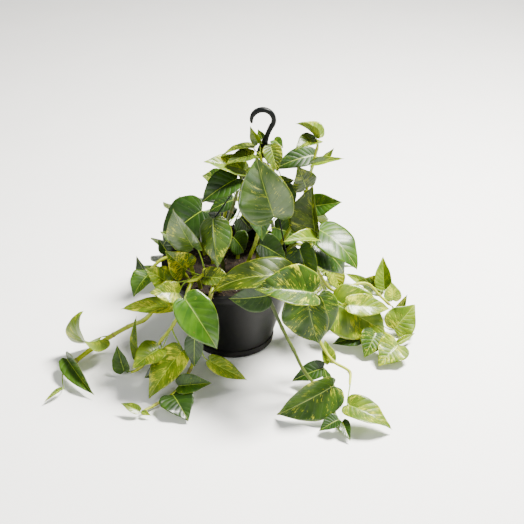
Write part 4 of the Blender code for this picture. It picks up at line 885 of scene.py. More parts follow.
def corner_normals(points: np.ndarray, triangles: np.ndarray) -> np.ndarray:
    """The unit normal at each point of a sheet.

    Args:
        points: The sheet's points.
        triangles: Its triangles.

    Returns:
        One normal for each point.
    """
    corners = points[triangles]
    flat = np.cross(corners[:, 1] - corners[:, 0], corners[:, 2] - corners[:, 0])
    normals = np.zeros_like(points)
    for corner in range(3):
        np.add.at(normals, triangles[:, corner], flat)
    return normals / np.linalg.norm(normals, axis=1)[:, None]


def open_edges(faces: Sequence[tuple[int, ...]]) -> list[tuple[int, int]]:
    """The sheet's edges that only one face has, in that face's direction."""
    edges = {edge for face in faces for edge in zip(face, (*face[1:], face[0]))}
    return sorted(edge for edge in edges if edge[::-1] not in edges)


def thickened(points: np.ndarray, triangles: list, above: float, below: float) -> Mesh:
    """A closed body of a sheet raised by above and lowered by below.

    Args:
        points: The sheet's points.
        triangles: Its triangles.
        above: How far its top is raised.
        below: How far its underside is lowered.

    Returns:
        Vertices and faces.
    """
    normals = corner_normals(points, np.array(triangles))
    count = len(points)
    verts = [*(points + normals * above), *(points - normals * below)]
    faces = list(triangles) + [(a + count, c + count, b + count) for a, b, c in triangles]
    for a, b in open_edges(triangles):
        faces.append((b, a, a + count))
        faces.append((b, a + count, b + count))
    return verts, faces


@dataclass(frozen=True)
class Stalk:
    """The petiole as a smooth curve of four guide points."""

    guides: tuple[np.ndarray, np.ndarray, np.ndarray, np.ndarray]

    @classmethod
    def grown(cls, blade: Blade, route: list[np.ndarray], earlier: int = 0) -> "Stalk":
        """The stalk that leaves the stem and arrives under the blade's foot.

        Args:
            blade: The blade that it carries.
            route: The stem's points.
            earlier: How many points further down the stem than usual it starts.

        Returns:
            The stalk.
        """
        distances = [float(np.linalg.norm(p - blade.foot)) for p in route]
        start = int(np.argmin(distances))
        back = 0.45 * distances[start] + 8 * MM
        while start > 2 and back > 0:
            back -= float(np.linalg.norm(route[start] - route[start - 1]))
            start -= 1
        start = min(max(start - earlier, 2), len(route) - 1)
        origin = route[start]
        growth = unit(route[min(start + 1, len(route) - 1)] - route[max(start - 1, 0)])
        span = float(np.linalg.norm(blade.foot - origin))
        point, _, normal = blade.frame(0)
        arrive = unit(0.75 * normal + 0.55 * blade.tangent(0))
        foot = point - normal * (BLADE_THICKNESS + 0.5 * MM)
        return cls((origin, origin + growth * span * 0.35, foot - arrive * span * 0.32, foot))

    def line(self, steps: int) -> list[np.ndarray]:
        """Points along the stalk.

        Args:
            steps: Number of steps.

        Returns:
            The points, with both ends.
        """
        p0, p1, p2, p3 = self.guides
        shares = [step / steps for step in range(steps + 1)]
        return [(1 - t) ** 3 * p0 + 3 * t * (1 - t) ** 2 * p1
                + 3 * t * t * (1 - t) * p2 + t ** 3 * p3
                for t in shares]

    @staticmethod
    def radius(blade: Blade, share: float) -> float:
        """Radius at a share of its length, larger under larger blades."""
        size = min(1.0, 0.6 + blade.reach / 0.25)
        return size * (PETIOLE_RADIUS + (PETIOLE_TIP_RADIUS - PETIOLE_RADIUS) * share)

    def solid(self, blade: Blade, grow: float = 0.0) -> Mesh:
        """The stalk in few faces, carried on along the midrib's underside as a sunk rib.

        Args:
            blade: The blade that it carries.
            grow: How much thicker it is than its radius.

        Returns:
            Vertices and faces.
        """
        steps = SMALL_PETIOLE_STEPS if blade.small else PETIOLE_STEPS
        points = self.line(steps)
        radii = [self.radius(blade, i / steps) for i in range(steps + 1)]
        place, _, normal = blade.frame(RIB_SHARE)
        points.append(place - normal * BLADE_THICKNESS / 2)
        radii.append(RIB_RADIUS)
        return tube(points, [r + grow for r in radii], PETIOLE_SIDES)


def kinked(verts: Sequence, faces: Sequence, sides: int) -> bool:
    """Whether a tube bends so sharply that its rings nearly meet or its faces cross.

    Args:
        verts: The tube's points.
        faces: Its faces.
        sides: Its number of sides.

    Returns:
        True where it crosses itself.
    """
    rings = np.array(verts).reshape(-1, sides, 3)
    centres = rings.mean(axis=1)
    normals = np.cross(rings[:, 1] - rings[:, 0], rings[:, 2] - rings[:, 0])
    normals /= np.linalg.norm(normals, axis=1)[:, None]
    ahead = np.einsum("kij,kj->ki", rings[1:] - centres[:-1, None], normals[:-1])
    behind = np.einsum("kij,kj->ki", rings[:-1] - centres[1:, None], normals[1:])
    if min(ahead.min(), -behind.max()) < RING_AIR:
        return True
    triangles = [(f[0], f[i], f[i + 1]) for f in faces for i in range(1, len(f) - 1)]
    tree = BVHTree.FromPolygons([Vector(v) for v in verts], triangles)
    return any(not set(triangles[a]) & set(triangles[b]) for a, b in tree.overlap(tree))


def stem_radii(name: str, route: list[np.ndarray]) -> list[float]:
    """Radius of a vine's stem at each point of its route.

    Args:
        name: The vine's name.
        route: The stem's points.

    Returns:
        A radius for each point.
    """
    tip_radius = STOUT_TIP_RADIUS if name in STOUT_VINES else STEM_TIP_RADIUS
    last = len(route) - 1
    shares = [max(0.0, (i - 2) / max(1, last - 2)) for i in range(last + 1)]
    return [STEM_ROOT_RADIUS + (tip_radius - STEM_ROOT_RADIUS) * share for share in shares]


# --------------------------------------------------------------- planning
class Crowd:
    """Solids already placed, for finding out what a new leaf would cross."""

    def __init__(self) -> None:
        """Start empty."""
        self.members: list[tuple[str, np.ndarray, np.ndarray, BVHTree]] = []

    def add(self, owner: str, verts: Sequence, faces: Sequence) -> None:
        """Put a solid in place.

        Args:
            owner: The vine or piece that it belongs to.
            verts: Its points.
            faces: Its faces.
        """
        verts = np.array(verts)
        tree = BVHTree.FromPolygons([Vector(v) for v in verts], faces)
        self.members.append((owner, verts.min(axis=0), verts.max(axis=0), tree))

    def crossed(self, verts: Sequence, faces: Sequence, skip: Sequence[str] = ()) -> bool:
        """Whether a solid would cross a placed one, apart from the owners to skip.

        Args:
            verts: The new solid's points.
            faces: Its faces.
            skip: Owners that it may cross.

        Returns:
            True where it crosses one.
        """
        verts = np.array(verts)
        low, high = verts.min(axis=0), verts.max(axis=0)
        tree = None
        for owner, other_low, other_high, other in self.members:
            if owner in skip or (low > other_high).any() or (high < other_low).any():
                continue
            if tree is None:
                tree = BVHTree.FromPolygons([Vector(v) for v in verts], faces)
            if tree.overlap(other):
                return True
        return False


def blocked(verts: Sequence) -> bool:
    """Whether any point lies below the floor's air gap or in the basket."""
    return min(v[2] for v in verts) < FLOOR_AIR or inside_pot(verts)


def inside_pot(verts: Sequence) -> bool:
    """Whether any point lies in the pot's body, its rim or the soil.

    Args:
        verts: The points.

    Returns:
        True where one of them is inside.
    """
    for x, y, z in verts:
        radius = math.hypot(x, y)
        if z < SOIL_TOP_Z + 5 * MM and radius < POT_TOP_RADIUS:
            if radius < pot_inner_radius(min(z, POT_HEIGHT)) + POT_WALL + 1.5 * MM:
                return True
        if z < POT_HEIGHT + 1.0 * MM and z > POT_HEIGHT - RIM_SKIRT - 1 * MM:
            if POT_TOP_RADIUS - POT_WALL - 1 * MM < radius < POT_RIM_RADIUS + 1 * MM:
                return True
    return False


def seeded(name: str, number: int) -> np.random.Generator:
    """A random source of its own for each leaf, so that none depends on another's tries."""
    return np.random.default_rng([RULE_SEED, number, *name.encode()])


def nudged(leaf: Leaf, attempt: int, rng: np.random.Generator) -> Leaf:
    """The leaf turned about its foot, by more with each attempt.

    Args:
        leaf: The leaf as it is wanted.
        attempt: How many places were tried before.
        rng: Where the random turns come from.

    Returns:
        The leaf in its new place.
    """
    if attempt == 0:
        return leaf
    angle = math.radians(1.5 + 0.35 * attempt)
    axis = unit(rng.normal(size=3))
    turn = Matrix.Rotation(angle, 3, Vector(axis))
    shift = Vector(rng.normal(size=3)) * min(5.0, 0.06 * attempt)
    foot = Vector(leaf.foot) + shift
    tip = foot + turn @ (Vector(leaf.tip) - Vector(leaf.foot))
    normal = turn @ Vector(direction(*leaf.face))
    face = (math.degrees(math.atan2(normal.y, normal.x)),
            math.degrees(math.asin(max(-1.0, min(1.0, normal.z)))))
    return replace(leaf, foot=tuple(foot), tip=tuple(tip), face=face)


@dataclass
class Vine:
    """One vine: the points of its stem, and its leaves on their stalks."""

    name: str
    points: list
    wanted: list[Leaf] = field(default_factory=list)
    leaves: list[tuple[Leaf, Stalk]] = field(default_factory=list)

    def route(self, step: float) -> list[np.ndarray]:
        """The stem's centre line from its root, in points about a step apart."""
        root = (self.points[0][0], self.points[0][1], ROOT_Z)
        return smooth_route([np.array(p, float) * MM for p in [root, *self.points]], step)

    def settle(self, leaf: Leaf, number: int, crowd: Crowd) -> None:
        """Grow one leaf, turned by as little as keeps it and its stalk clear.

        Args:
            leaf: The leaf as it would like to lie.
            number: Its number on the vine.
            crowd: What it keeps clear of.
        """
        stalk_name = f"{self.name}_petiole"
        route, rng = self.route(STEM_STEP), seeded(self.name, number)
        for attempt in range(TRIES):
            trial = nudged(leaf, attempt, rng)
            blade = Blade(trial)
            own = (stalk_name,) if attempt > STRICT_TRIES else ()
            verts, faces = blade.solid(BLADE_AIR, BLADE_THICKNESS + BLADE_AIR)
            if blocked(verts) or crowd.crossed(verts, faces, skip=own):
                continue
            for earlier in (0, 1, -1, 2, 3, -2, 4):
                stalk = Stalk.grown(blade, route, earlier)
                if kinked(*stalk.solid(blade), PETIOLE_SIDES):
                    continue
                airy = stalk.solid(blade, grow=BLADE_AIR)
                if blocked(airy[0]) or crowd.crossed(*airy, skip=(self.name, stalk_name)):
                    continue
                crowd.add(f"{self.name}_leaf", *blade.solid())
                crowd.add(stalk_name, *stalk.solid(blade))
                self.leaves.append((trial, stalk))
                return
        LOG.warning("no room for leaf %d on %s", number, self.name)


def rule_leaves(vine: Vine, count: int) -> list[Leaf]:
    """Leaves up a stem on alternate sides, hanging outwards from the mound.

    Args:
        vine: The vine that carries them.
        count: How many.

    Returns:
        The leaves as they would like to lie.
    """
    rng = seeded(vine.name, count)
    route = vine.route(STEM_STEP)
    leaves = []
    first = next(i for i, p in enumerate(route) if p[2] > POT_HEIGHT + 4 * MM)
    for number in range(count):
        share = (number + 0.6) / count
        base = route[first + round(share * (len(route) - 1 - first))] / MM
        outward = base[:2] - MOUND_CENTRE
        azimuth = math.degrees(math.atan2(outward[1], outward[0]))
        azimuth += (38 if number % 2 else -38) + rng.uniform(-18, 18)
        azimuth = min(max(azimuth, RULE_AZIMUTHS[0]), RULE_AZIMUTHS[1])
        reach = rng.uniform(22, 42)
        foot = base + direction(azimuth, 35) * reach
        foot[2] = max(foot[2], 16)
        length = rng.uniform(70, 108) * (1.0 - 0.35 * share)
        steep = rng.uniform(-48, -20) if foot[2] > 70 else rng.uniform(-12, 5)
        tip = foot + direction(azimuth + rng.uniform(-25, 25), steep) * length
        tip[2] = max(tip[2], 6)
        tone = RULE_TONES[(number + sum(vine.name.encode())) % len(RULE_TONES)]
        leaves.append(Leaf(tone, tuple(foot), tuple(tip), rng.uniform(0.72, 0.92),
                           (azimuth, rng.uniform(35, 60)), rng.uniform(8, 22),
                           rng.uniform(15, 45), 0, 0.015))
    return leaves


def rule_vines() -> list[Vine]:
    """The vines that grow by rule, with the leaves that they would like.

    Returns:
        The vines, with their leaves not yet settled.
    """
    vines = []
    for number, (azimuth, trail, count) in enumerate(BACK_VINES, 1):
        radial, side = direction(azimuth, 0), direction(azimuth + 90, 0)
        route = [(0.62, 0, 150), (0.76, 4, 182), (1.08, 6, 180), (1.2, 8, 140),
                 (1.32, 6, 85), (1.48, 2, 35)]
        points = [radial * r * 125 + side * s + np.array((0, 0, z)) for r, s, z in route]
        points.append(radial * (trail - 20) + side * 8 + np.array((0, 0, 9)))
        points.append(radial * trail + side * 16 + np.array((0, 0, 8)))
        vines.append((Vine(f"vine_back_{number}", points), count))
    for number, (root, top, count) in enumerate(BACK_CLIMBERS, 1):
        low, high = np.array((*root, 150.0)), np.array(top, float)
        points = [low] + [low + (high - low) * share
                          + np.array((0, 8 * math.sin(math.pi * share), 0))
                          for share in (0.25, 0.5, 0.75, 1.0)]
        vines.append((Vine(f"vine_climber_{number}", points), count))
    for vine, count in vines:
        vine.wanted = rule_leaves(vine, count)
    return [vine for vine, _ in vines]


def grown_vines() -> list[Vine]:
    """Every vine with its leaves turned clear of each other and of the basket.

    Returns:
        All vines, with every leaf in its place.
    """
    crowd = Crowd()
    for solid in basket_solids():
        crowd.add("basket", *solid)
    vines = [Vine(name, points, leaves) for name, (points, leaves) in VINES.items()]
    vines += rule_vines()
    for vine in vines:
        route = vine.route(STEM_STEP)
        crowd.add(vine.name, *tube(route, stem_radii(vine.name, route), STEM_SIDES))
    for vine in vines:
        for number, leaf in enumerate(vine.wanted):
            vine.settle(leaf, number, crowd)
    return vines


# --------------------------------------------------------------- materials
class Signal:
    """One output in a node tree; arithmetic on it adds the nodes it needs."""

    def __init__(self, finish: "Finish", socket: bpy.types.NodeSocket) -> None:
        """Wrap a node's output."""
        self.finish = finish
        self.socket = socket

    @property
    def wide(self) -> bool:
        """Whether it carries three numbers rather than one."""
        return self.socket.type in {"VECTOR", "RGBA"}

    def _combined(self, operation: str, *others: "Term", flipped: bool = False) -> "Signal":
        """Add the node for an operation on this signal and others.

        Args:
            operation: The node's operation.
            *others: What it is combined with.
            flipped: Whether the signal comes last.

        Returns:
            The result.
        """
        terms = [self, *others][::-1] if flipped else [self, *others]
        wide = any(t.wide if isinstance(t, Signal) else isinstance(t, tuple) for t in terms)
        kind = "ShaderNodeVectorMath" if wide else "ShaderNodeMath"
        return self.finish.node(kind, {"operation": operation}, dict(enumerate(terms)))

    def __add__(self, other: "Term") -> "Signal":
        """Add."""
        return self._combined("ADD", other)

    def __radd__(self, other: "Term") -> "Signal":
        """Add to something plain."""
        return self._combined("ADD", other)

    def __sub__(self, other: "Term") -> "Signal":
        """Subtract."""
        return self._combined("SUBTRACT", other)

    def __rsub__(self, other: "Term") -> "Signal":
        """Subtract from something plain."""
        return self._combined("SUBTRACT", other, flipped=True)

    def __mul__(self, other: "Term") -> "Signal":
        """Multiply."""
        return self._combined("MULTIPLY", other)

    def __rmul__(self, other: "Term") -> "Signal":
        """Multiply something plain."""
        return self._combined("MULTIPLY", other)

    def __truediv__(self, other: "Term") -> "Signal":
        """Divide."""
        return self._combined("DIVIDE", other)

    def __rtruediv__(self, other: "Term") -> "Signal":
        """Divide something plain."""
        return self._combined("DIVIDE", other, flipped=True)

    def __pow__(self, other: "Term") -> "Signal":
        """Raise to a power."""
        return self._combined("POWER", other)

    def __abs__(self) -> "Signal":
        """Drop the sign."""
        return self._combined("ABSOLUTE")

    def __neg__(self) -> "Signal":
        """Turn the sign."""
        return self._combined("MULTIPLY", -1.0)

    def floor(self) -> "Signal":
        """The whole number below."""
        return self._combined("FLOOR")

    def fraction(self) -> "Signal":
        """What is left over the whole number below."""
        return self._combined("FRACT")

    def crest(self) -> "Signal":
        """1 at each whole number and 0 halfway between."""
        return abs(self.fraction() - 0.5) * 2.0

    def ramp(self, low: float, high: "Term", start: float = 0.0, end: float = 1.0) -> "Signal":
        """Smoothly from start where the signal is low to end where it is high.

        Args:
            low: Where the ramp starts.
            high: Where it ends.
            start: Its value up to there.
            end: Its value from there on.

        Returns:
            The ramped signal.
        """
        settings = {"data_type": "FLOAT", "interpolation_type": "SMOOTHSTEP"}
        inputs = {"Value": self, "From Min": low, "From Max": high, "To Min": start, "To Max": end}
        return self.finish.node("ShaderNodeMapRange", settings, inputs)

    def parts(self) -> tuple["Signal", "Signal", "Signal"]:
        """Its three numbers.

        Returns:
            A signal for each number.
        """
        first = self.finish.node("ShaderNodeSeparateXYZ", inputs={"Vector": self})
        outputs = first.socket.node.outputs
        return tuple(Signal(self.finish, outputs[i]) for i in range(3))


Term = Signal | float | tuple


class Finish:
    """A procedural material in the making."""

    def __init__(self, name: str, **constants: float) -> None:
        """Start from a plain shader.

        Args:
            name: The material's name.
            **constants: Values of the shader's sockets, with _ for each space.
        """
        self.material = bpy.data.materials.new(name)
        self.material.use_nodes = True
        self.shader = self.material.node_tree.nodes["Principled BSDF"]
        for socket, value in constants.items():
            self.feed(self.shader.inputs[socket.replace("_", " ")], value)

    def feed(self, socket: bpy.types.NodeSocket, value: Term) -> None:
        """Link a signal to a socket, or set the socket to a constant.

        Args:
            socket: The socket.
            value: What it gets.
        """
        if isinstance(value, Signal):
            self.material.node_tree.links.new(value.socket, socket)
        elif socket.type == "RGBA":
            socket.default_value = (*value, 1.0) if isinstance(value, tuple) else (value,) * 4
        elif socket.type == "VECTOR" and not isinstance(value, tuple):
            socket.default_value = (value,) * 3
        else:
            socket.default_value = value

    def node(self, kind: str, settings: dict | None = None, inputs: dict | None = None,
             output: int | str = 0) -> Signal:
        """Add a node.

        Args:
            kind: The node's type.
            settings: Its properties, set before its inputs.
            inputs: Signals or constants by the socket's name or number.
            output: The output to return.

        Returns:
            That output.
        """
        node = self.material.node_tree.nodes.new(kind)
        for key, value in (settings or {}).items():
            setattr(node, key, value)
        for key, value in (inputs or {}).items():
            self.feed(node.inputs[key], value)
        return Signal(self, node.outputs[output])

    def value(self, name: str) -> Signal:
        """A value that the mesh carries."""
        return self.node("ShaderNodeAttribute", {"attribute_name": name}, output="Vector")

    def place(self) -> Signal:
        """The place on the object, in metres."""
        return self.node("ShaderNodeTexCoord", output="Object")

    def vector(self, x: Term, y: Term, z: Term = 0.0) -> Signal:
        """Three numbers in one signal."""
        return self.node("ShaderNodeCombineXYZ", inputs={"X": x, "Y": y, "Z": z})

    def noise(self, at: Signal, scale: float, detail: float = 2.0,
              roughness: float = 0.5) -> Signal:
        """Soft noise from 0 to 1 with a mean of a half."""
        inputs = {"Vector": at, "Scale": scale, "Detail": detail, "Roughness": roughness}
        return self.node("ShaderNodeTexNoise", {"normalize": True}, inputs)

    def cells(self, at: Signal, scale: float, feature: str = "F1") -> Signal:
        """Distance to the nearest point of a random scatter."""
        inputs = {"Vector": at, "Scale": scale}
        return self.node("ShaderNodeTexVoronoi", {"feature": feature}, inputs, "Distance")

    def chance(self, at: Signal) -> Signal:
        """A random number for each whole place."""
        settings = {"noise_dimensions": "3D"}
        return self.node("ShaderNodeTexWhiteNoise", settings, {"Vector": at}, "Value")

    def blend(self, below: Term, above: Term, share: Term, mode: str = "MIX") -> Signal:
        """One colour laid over another by a share."""
        inputs = {0: share, 6: below, 7: above}
        return self.node("ShaderNodeMix", {"data_type": "RGBA", "blend_type": mode}, inputs, 2)

    def dressed(self, relief: Signal, depth: float, **sockets: Term) -> bpy.types.Material:
        """Feed the shader and hand over the material.

        Args:
            relief: Height of the surface's fine detail, about 0 to 1.
            depth: What a height of 1 stands for, in metres.
            **sockets: Signals for the shader's sockets, with _ for each space.

        Returns:
            The finished material.
        """
        inputs = {"Strength": 1.0, "Distance": depth, "Height": relief}
        sockets["Normal"] = self.node("ShaderNodeBump", inputs=inputs)
        for name, term in sockets.items():
            self.feed(self.shader.inputs[name.replace("_", " ")], term)
        return self.material


@dataclass(frozen=True)
class BladeFinish:
    """Waxy blades, variegated in streaks that follow the side veins."""

    underside: Colour = (0.160, 0.240, 0.022)
    rib: Colour = (0.400, 0.500, 0.060)
    blemish: Colour = (0.110, 0.070, 0.025)
    roughness: float = 0.46
    relief: float = 0.90 * MM

    def material(self) -> bpy.types.Material:
        """Make the blades' material.

        Returns:
            The material.
        """
        finish = Finish("pothos blade", Specular_IOR_Level=0.22, Coat_Roughness=0.18)
        row, out, under = finish.value("place").parts()
        ahead, aside, seed = finish.value("flat").parts()
        marked, gloss, size = finish.value("facts").parts()
        edge = abs(out)
        side = out.ramp(-0.001, 0.001)

        # side veins, and the bulging panels between them
        fan = (row - edge * VEIN_LEAN) * VEIN_PAIRS + side * VEIN_STAGGER
        vein = fan.crest().ramp(0.86, 1.0) * edge.ramp(0.0, 0.1) * edge.ramp(1.0, 0.80)
        panel = 1.0 - fan.crest() ** 2.0
        half_rib = size * (1.0 - row * 0.75) * 0.008 + 0.0003
        rib = (abs(aside) / half_rib).ramp(0.45, 1.0, 1.0, 0.0)

        # panels differ a little, and marks run along them out from the midrib
        sector = finish.chance(finish.vector(fan.floor(), side * 7.0, seed))
        mottle = finish.noise(finish.vector(ahead, aside, seed), 45.0, 3.0)
        green = finish.blend(finish.value("deep"), finish.value("light"),
                             (mottle * 1.2 + sector * 0.25 - 0.22).ramp(0.15, 0.85))
        streak = finish.noise(finish.vector(fan * 3.6, out * 2.6, seed), 1.0, 3.0, 0.65)
        patch = finish.noise(finish.vector(ahead, aside, seed + 9.0), 40.0, 2.0)
        brush = finish.noise(finish.vector(fan * 17.0, out * 6.0, seed + 4.0), 1.0, 2.0)
        lot = streak * 0.40 + patch * 0.28 + brush * 0.32 + (sector - 0.5) * 0.05
        bar = 0.68 - marked * 0.30
        mark = ((lot - bar) / 0.045).ramp(0.0, 1.0) * 0.90
        colour = finish.blend(green, finish.value("mark"), mark)
        colour = finish.blend(colour, finish.value("light"), vein * 0.45)
        colour = finish.blend(colour, self.rib, rib * 0.60)
        colour = finish.blend(colour, finish.value("mark"), edge.ramp(0.965, 1.0) * 0.45)
        spot = finish.noise(finish.vector(ahead, aside, seed + 2.0), 160.0, 1.0).ramp(0.755, 0.79)
        colour = finish.blend(colour, self.blemish, spot * 0.55)
        colour = finish.blend(colour, self.underside, under * 0.55)

        grain = finish.noise(finish.vector(ahead, aside, seed), 900.0, 2.0)
        relief = panel * 0.35 - vein * 0.20 - rib * 0.45 + grain * 0.10 + mottle * 0.30
        rough = self.roughness + mottle * 0.10 + mark * 0.06 + under * 0.14 - gloss * 0.20
        return finish.dressed(relief, self.relief, Base_Color=colour, Roughness=rough,
                              Coat_Weight=gloss * (1.0 - under) * 0.60)


@dataclass(frozen=True)
class StemFinish:
    """Fleshy stems and stalks with fine streaks and corky joints."""

    cork: Colour = (0.165, 0.120, 0.050)
    roughness: float = 0.42
    relief: float = 0.16 * MM

    def material(self) -> bpy.types.Material:
        """Make the stems' material.

        Returns:
            The material.
        """
        finish = Finish("pothos stem", IOR=1.45)
        along, corky, _ = finish.value("place").parts()
        flat = finish.value("flat")
        run, right, front = flat.parts()
        streak = finish.noise(finish.vector(run * 60.0, right * 1400.0, front * 1400.0), 1.0, 3.0)
        patch = finish.noise(finish.vector(run, right, front), 70.0, 3.0)
        colour = finish.blend(finish.value("deep"), finish.value("light"),
                              (streak * 0.6 + patch * 0.6 + along * 0.4 - 0.30).ramp(0.15, 0.85))
        colour = finish.blend(colour, finish.value("mark"), streak.ramp(0.56, 0.66) * 0.35)
        speck = finish.cells(flat, 900.0).ramp(0.10, 0.22, 1.0, 0.0)
        scar = corky * (streak * 0.6 + 0.6)
        colour = finish.blend(colour, self.cork, scar.ramp(0.15, 0.9))
        colour = finish.blend(colour, self.cork, speck * 0.25)
        relief = streak * 0.6 + corky * streak * 0.8 + speck * 0.3
        return finish.dressed(relief, self.relief, Base_Color=colour,
                              Roughness=self.roughness + corky * 0.35 + patch * 0.08)


@dataclass(frozen=True)
class PlasticFinish:
    """Moulded plastic with a fine grain, dust and scuffs."""

    colour: Colour
    worn: Colour
    dust: Colour
    roughness: float
    grain: float
    relief: float = 0.06 * MM
    dust_height: float = 0.0

    def material(self, name: str) -> bpy.types.Material:
        """Make the material.

        Args:
            name: Its name.

        Returns:
            The material.
        """
        finish = Finish(name, Specular_IOR_Level=0.14)
        place = finish.place()
        _, _, height = place.parts()
        cloud = finish.noise(place, 22.0, 4.0, 0.6)
        grain = finish.noise(place, self.grain, 2.0)
        scuff = finish.noise(place * (30.0, 30.0, 260.0), 1.0, 4.0, 0.7).ramp(0.60, 0.74)
        colour = finish.blend(self.colour, self.worn, (cloud * 0.5 + scuff * 0.5).ramp(0.2, 1.0))
        low = height.ramp(self.dust_height, self.dust_height + 40 * MM, 1.0, 0.0)
        dust = (cloud * 1.4 - 0.35) * low + finish.cells(place, 420.0).ramp(0.06, 0.12, 0.35, 0.0)
        colour = finish.blend(colour, self.dust, dust.ramp(0.0, 1.2) * 0.6)
        rough = self.roughness + cloud * 0.14 + dust.ramp(0.0, 1.0) * 0.25 + scuff * 0.10
        relief = grain * 0.7 + cloud * 0.5 - scuff * 0.3
        return finish.dressed(relief, self.relief, Base_Color=colour, Roughness=rough)


@dataclass(frozen=True)
class SoilFinish:
    """Damp potting mix with fibres, painted darker for the shade that the foliage casts on it."""

    # Both mix colours are painted darker for the shade under the leaves.
    damp_in_shade: Colour = (0.006, 0.004, 0.003)
    dry_in_shade: Colour = (0.030, 0.020, 0.012)
    fibre: Colour = (0.085, 0.058, 0.032)

    def material(self) -> bpy.types.Material:
        """Make the mix's material.

        Returns:
            The material.
        """
        finish = Finish("potting mix", IOR=1.35)
        place = finish.place()
        clod = finish.noise(place, 150.0, 6.0, 0.65)
        crumb = finish.cells(place, 620.0)
        thread = finish.noise(place * (900.0, 240.0, 600.0), 1.0, 2.0).ramp(0.64, 0.70)
        colour = finish.blend(self.damp_in_shade, self.dry_in_shade, (clod + crumb * 0.4 - 0.2).ramp(0.2, 0.8))
        colour = finish.blend(colour, self.fibre, thread * 0.6)
        relief = clod * 0.8 + crumb * 0.5 + thread * 0.2
        return finish.dressed(relief, 1.1 * MM, Base_Color=colour,
                              Roughness=0.84 + clod * 0.14)


@dataclass(frozen=True)
class ChipFinish:
    """Bark and mineral grains, in the colours that their mesh carries."""

    def material(self) -> bpy.types.Material:
        """Make the grains' material.

        Returns:
            The material.
        """
        finish = Finish("bark and grit", IOR=1.4)
        place = finish.place()
        grain = finish.noise(place * (260.0, 900.0, 700.0), 1.0, 4.0, 0.6)
        pore = finish.cells(place, 1100.0)
        colour = finish.blend(finish.value("deep"), finish.value("light"), grain.ramp(0.3, 0.7))
        relief = grain * 0.7 + pore * 0.5
        return finish.dressed(relief, 0.5 * MM, Base_Color=colour, Roughness=0.8 + grain * 0.15)


class Plastic(Enum):
    """The plastics of the basket."""

    POT = PlasticFinish(
        colour=(0.003, 0.003, 0.003), worn=(0.009, 0.010, 0.009), dust=(0.060, 0.054, 0.044),
        roughness=0.36, grain=1500.0)
    HANGER = PlasticFinish(
        colour=(0.003, 0.004, 0.004), worn=(0.012, 0.018, 0.017), dust=(0.050, 0.055, 0.050),
        roughness=0.28, grain=2200.0, relief=0.04 * MM, dust_height=-1.0)


# ----------------------------------------------------------------- foliage
@dataclass(frozen=True)
class StemTone:
    """Colours of a stem or a stalk."""

    deep: Colour
    light: Colour
    mark: Colour


STEM_TONE = StemTone((0.090, 0.140, 0.003), (0.380, 0.440, 0.008), (0.600, 0.580, 0.040))
# Painted shade: a darker stem tone for stems that sit in shade.
SHADED_STEM_TONE = StemTone((0.020, 0.036, 0.003), (0.075, 0.110, 0.006), (0.180, 0.200, 0.020))
STALK_TONE = StemTone((0.100, 0.190, 0.004), (0.300, 0.430, 0.010), (0.560, 0.600, 0.050))
ROOT_TONE = StemTone((0.120, 0.075, 0.030), (0.260, 0.180, 0.085), (0.300, 0.220, 0.120))
# Vines in the mound's shade, whose stems are painted dark for that shade.
SHADED_STEMS = ("vine_right_thin", "vine_back_2", "vine_back_5", "vine_top_left")

BLADE_ROWS = 44
BLADE_COLUMNS = 8
BLADE_SKIN = 0.50 * MM
MARGIN_SKIN = 0.16 * MM
# In blade lengths: the panels' bulge, how round the fold is along the midrib,
# how far the tip dips and where the dip starts.
PANEL_RISE = 0.0028
FOLD_ROUNDING = 0.014
TIP_DIP = 0.022
DIP_START = 0.84
# The margin's two waves: height in blade lengths, turns and shift.
MARGIN_WAVES = ((0.0075, 19, 1), (0.0030, 43, 2))

STEM_RINGS = 4.5 * MM
STEM_FINE_SIDES = 12
JOINT_SPACING = 42 * MM
JOINT_REACH = 2.4 * MM
JOINT_SWELL = 0.20
SHOOT_LENGTH = 7 * MM
# Within this height of the ground an air root is cut short to stay above it.
ROOT_NEAR_GROUND = 20 * MM
AIR_ROOT_RADIUS = 0.75 * MM
AIR_ROOT_SIDES = 6

STALK_FINE_STEPS = 16
STALK_FINE_SIDES = 8
SHEATH_RADIUS = 0.55 * MM
HINGE_RADIUS = 0.28 * MM
RIB_FOOT_RADIUS = 0.85 * MM
RIB_TIP_RADIUS = 0.15 * MM


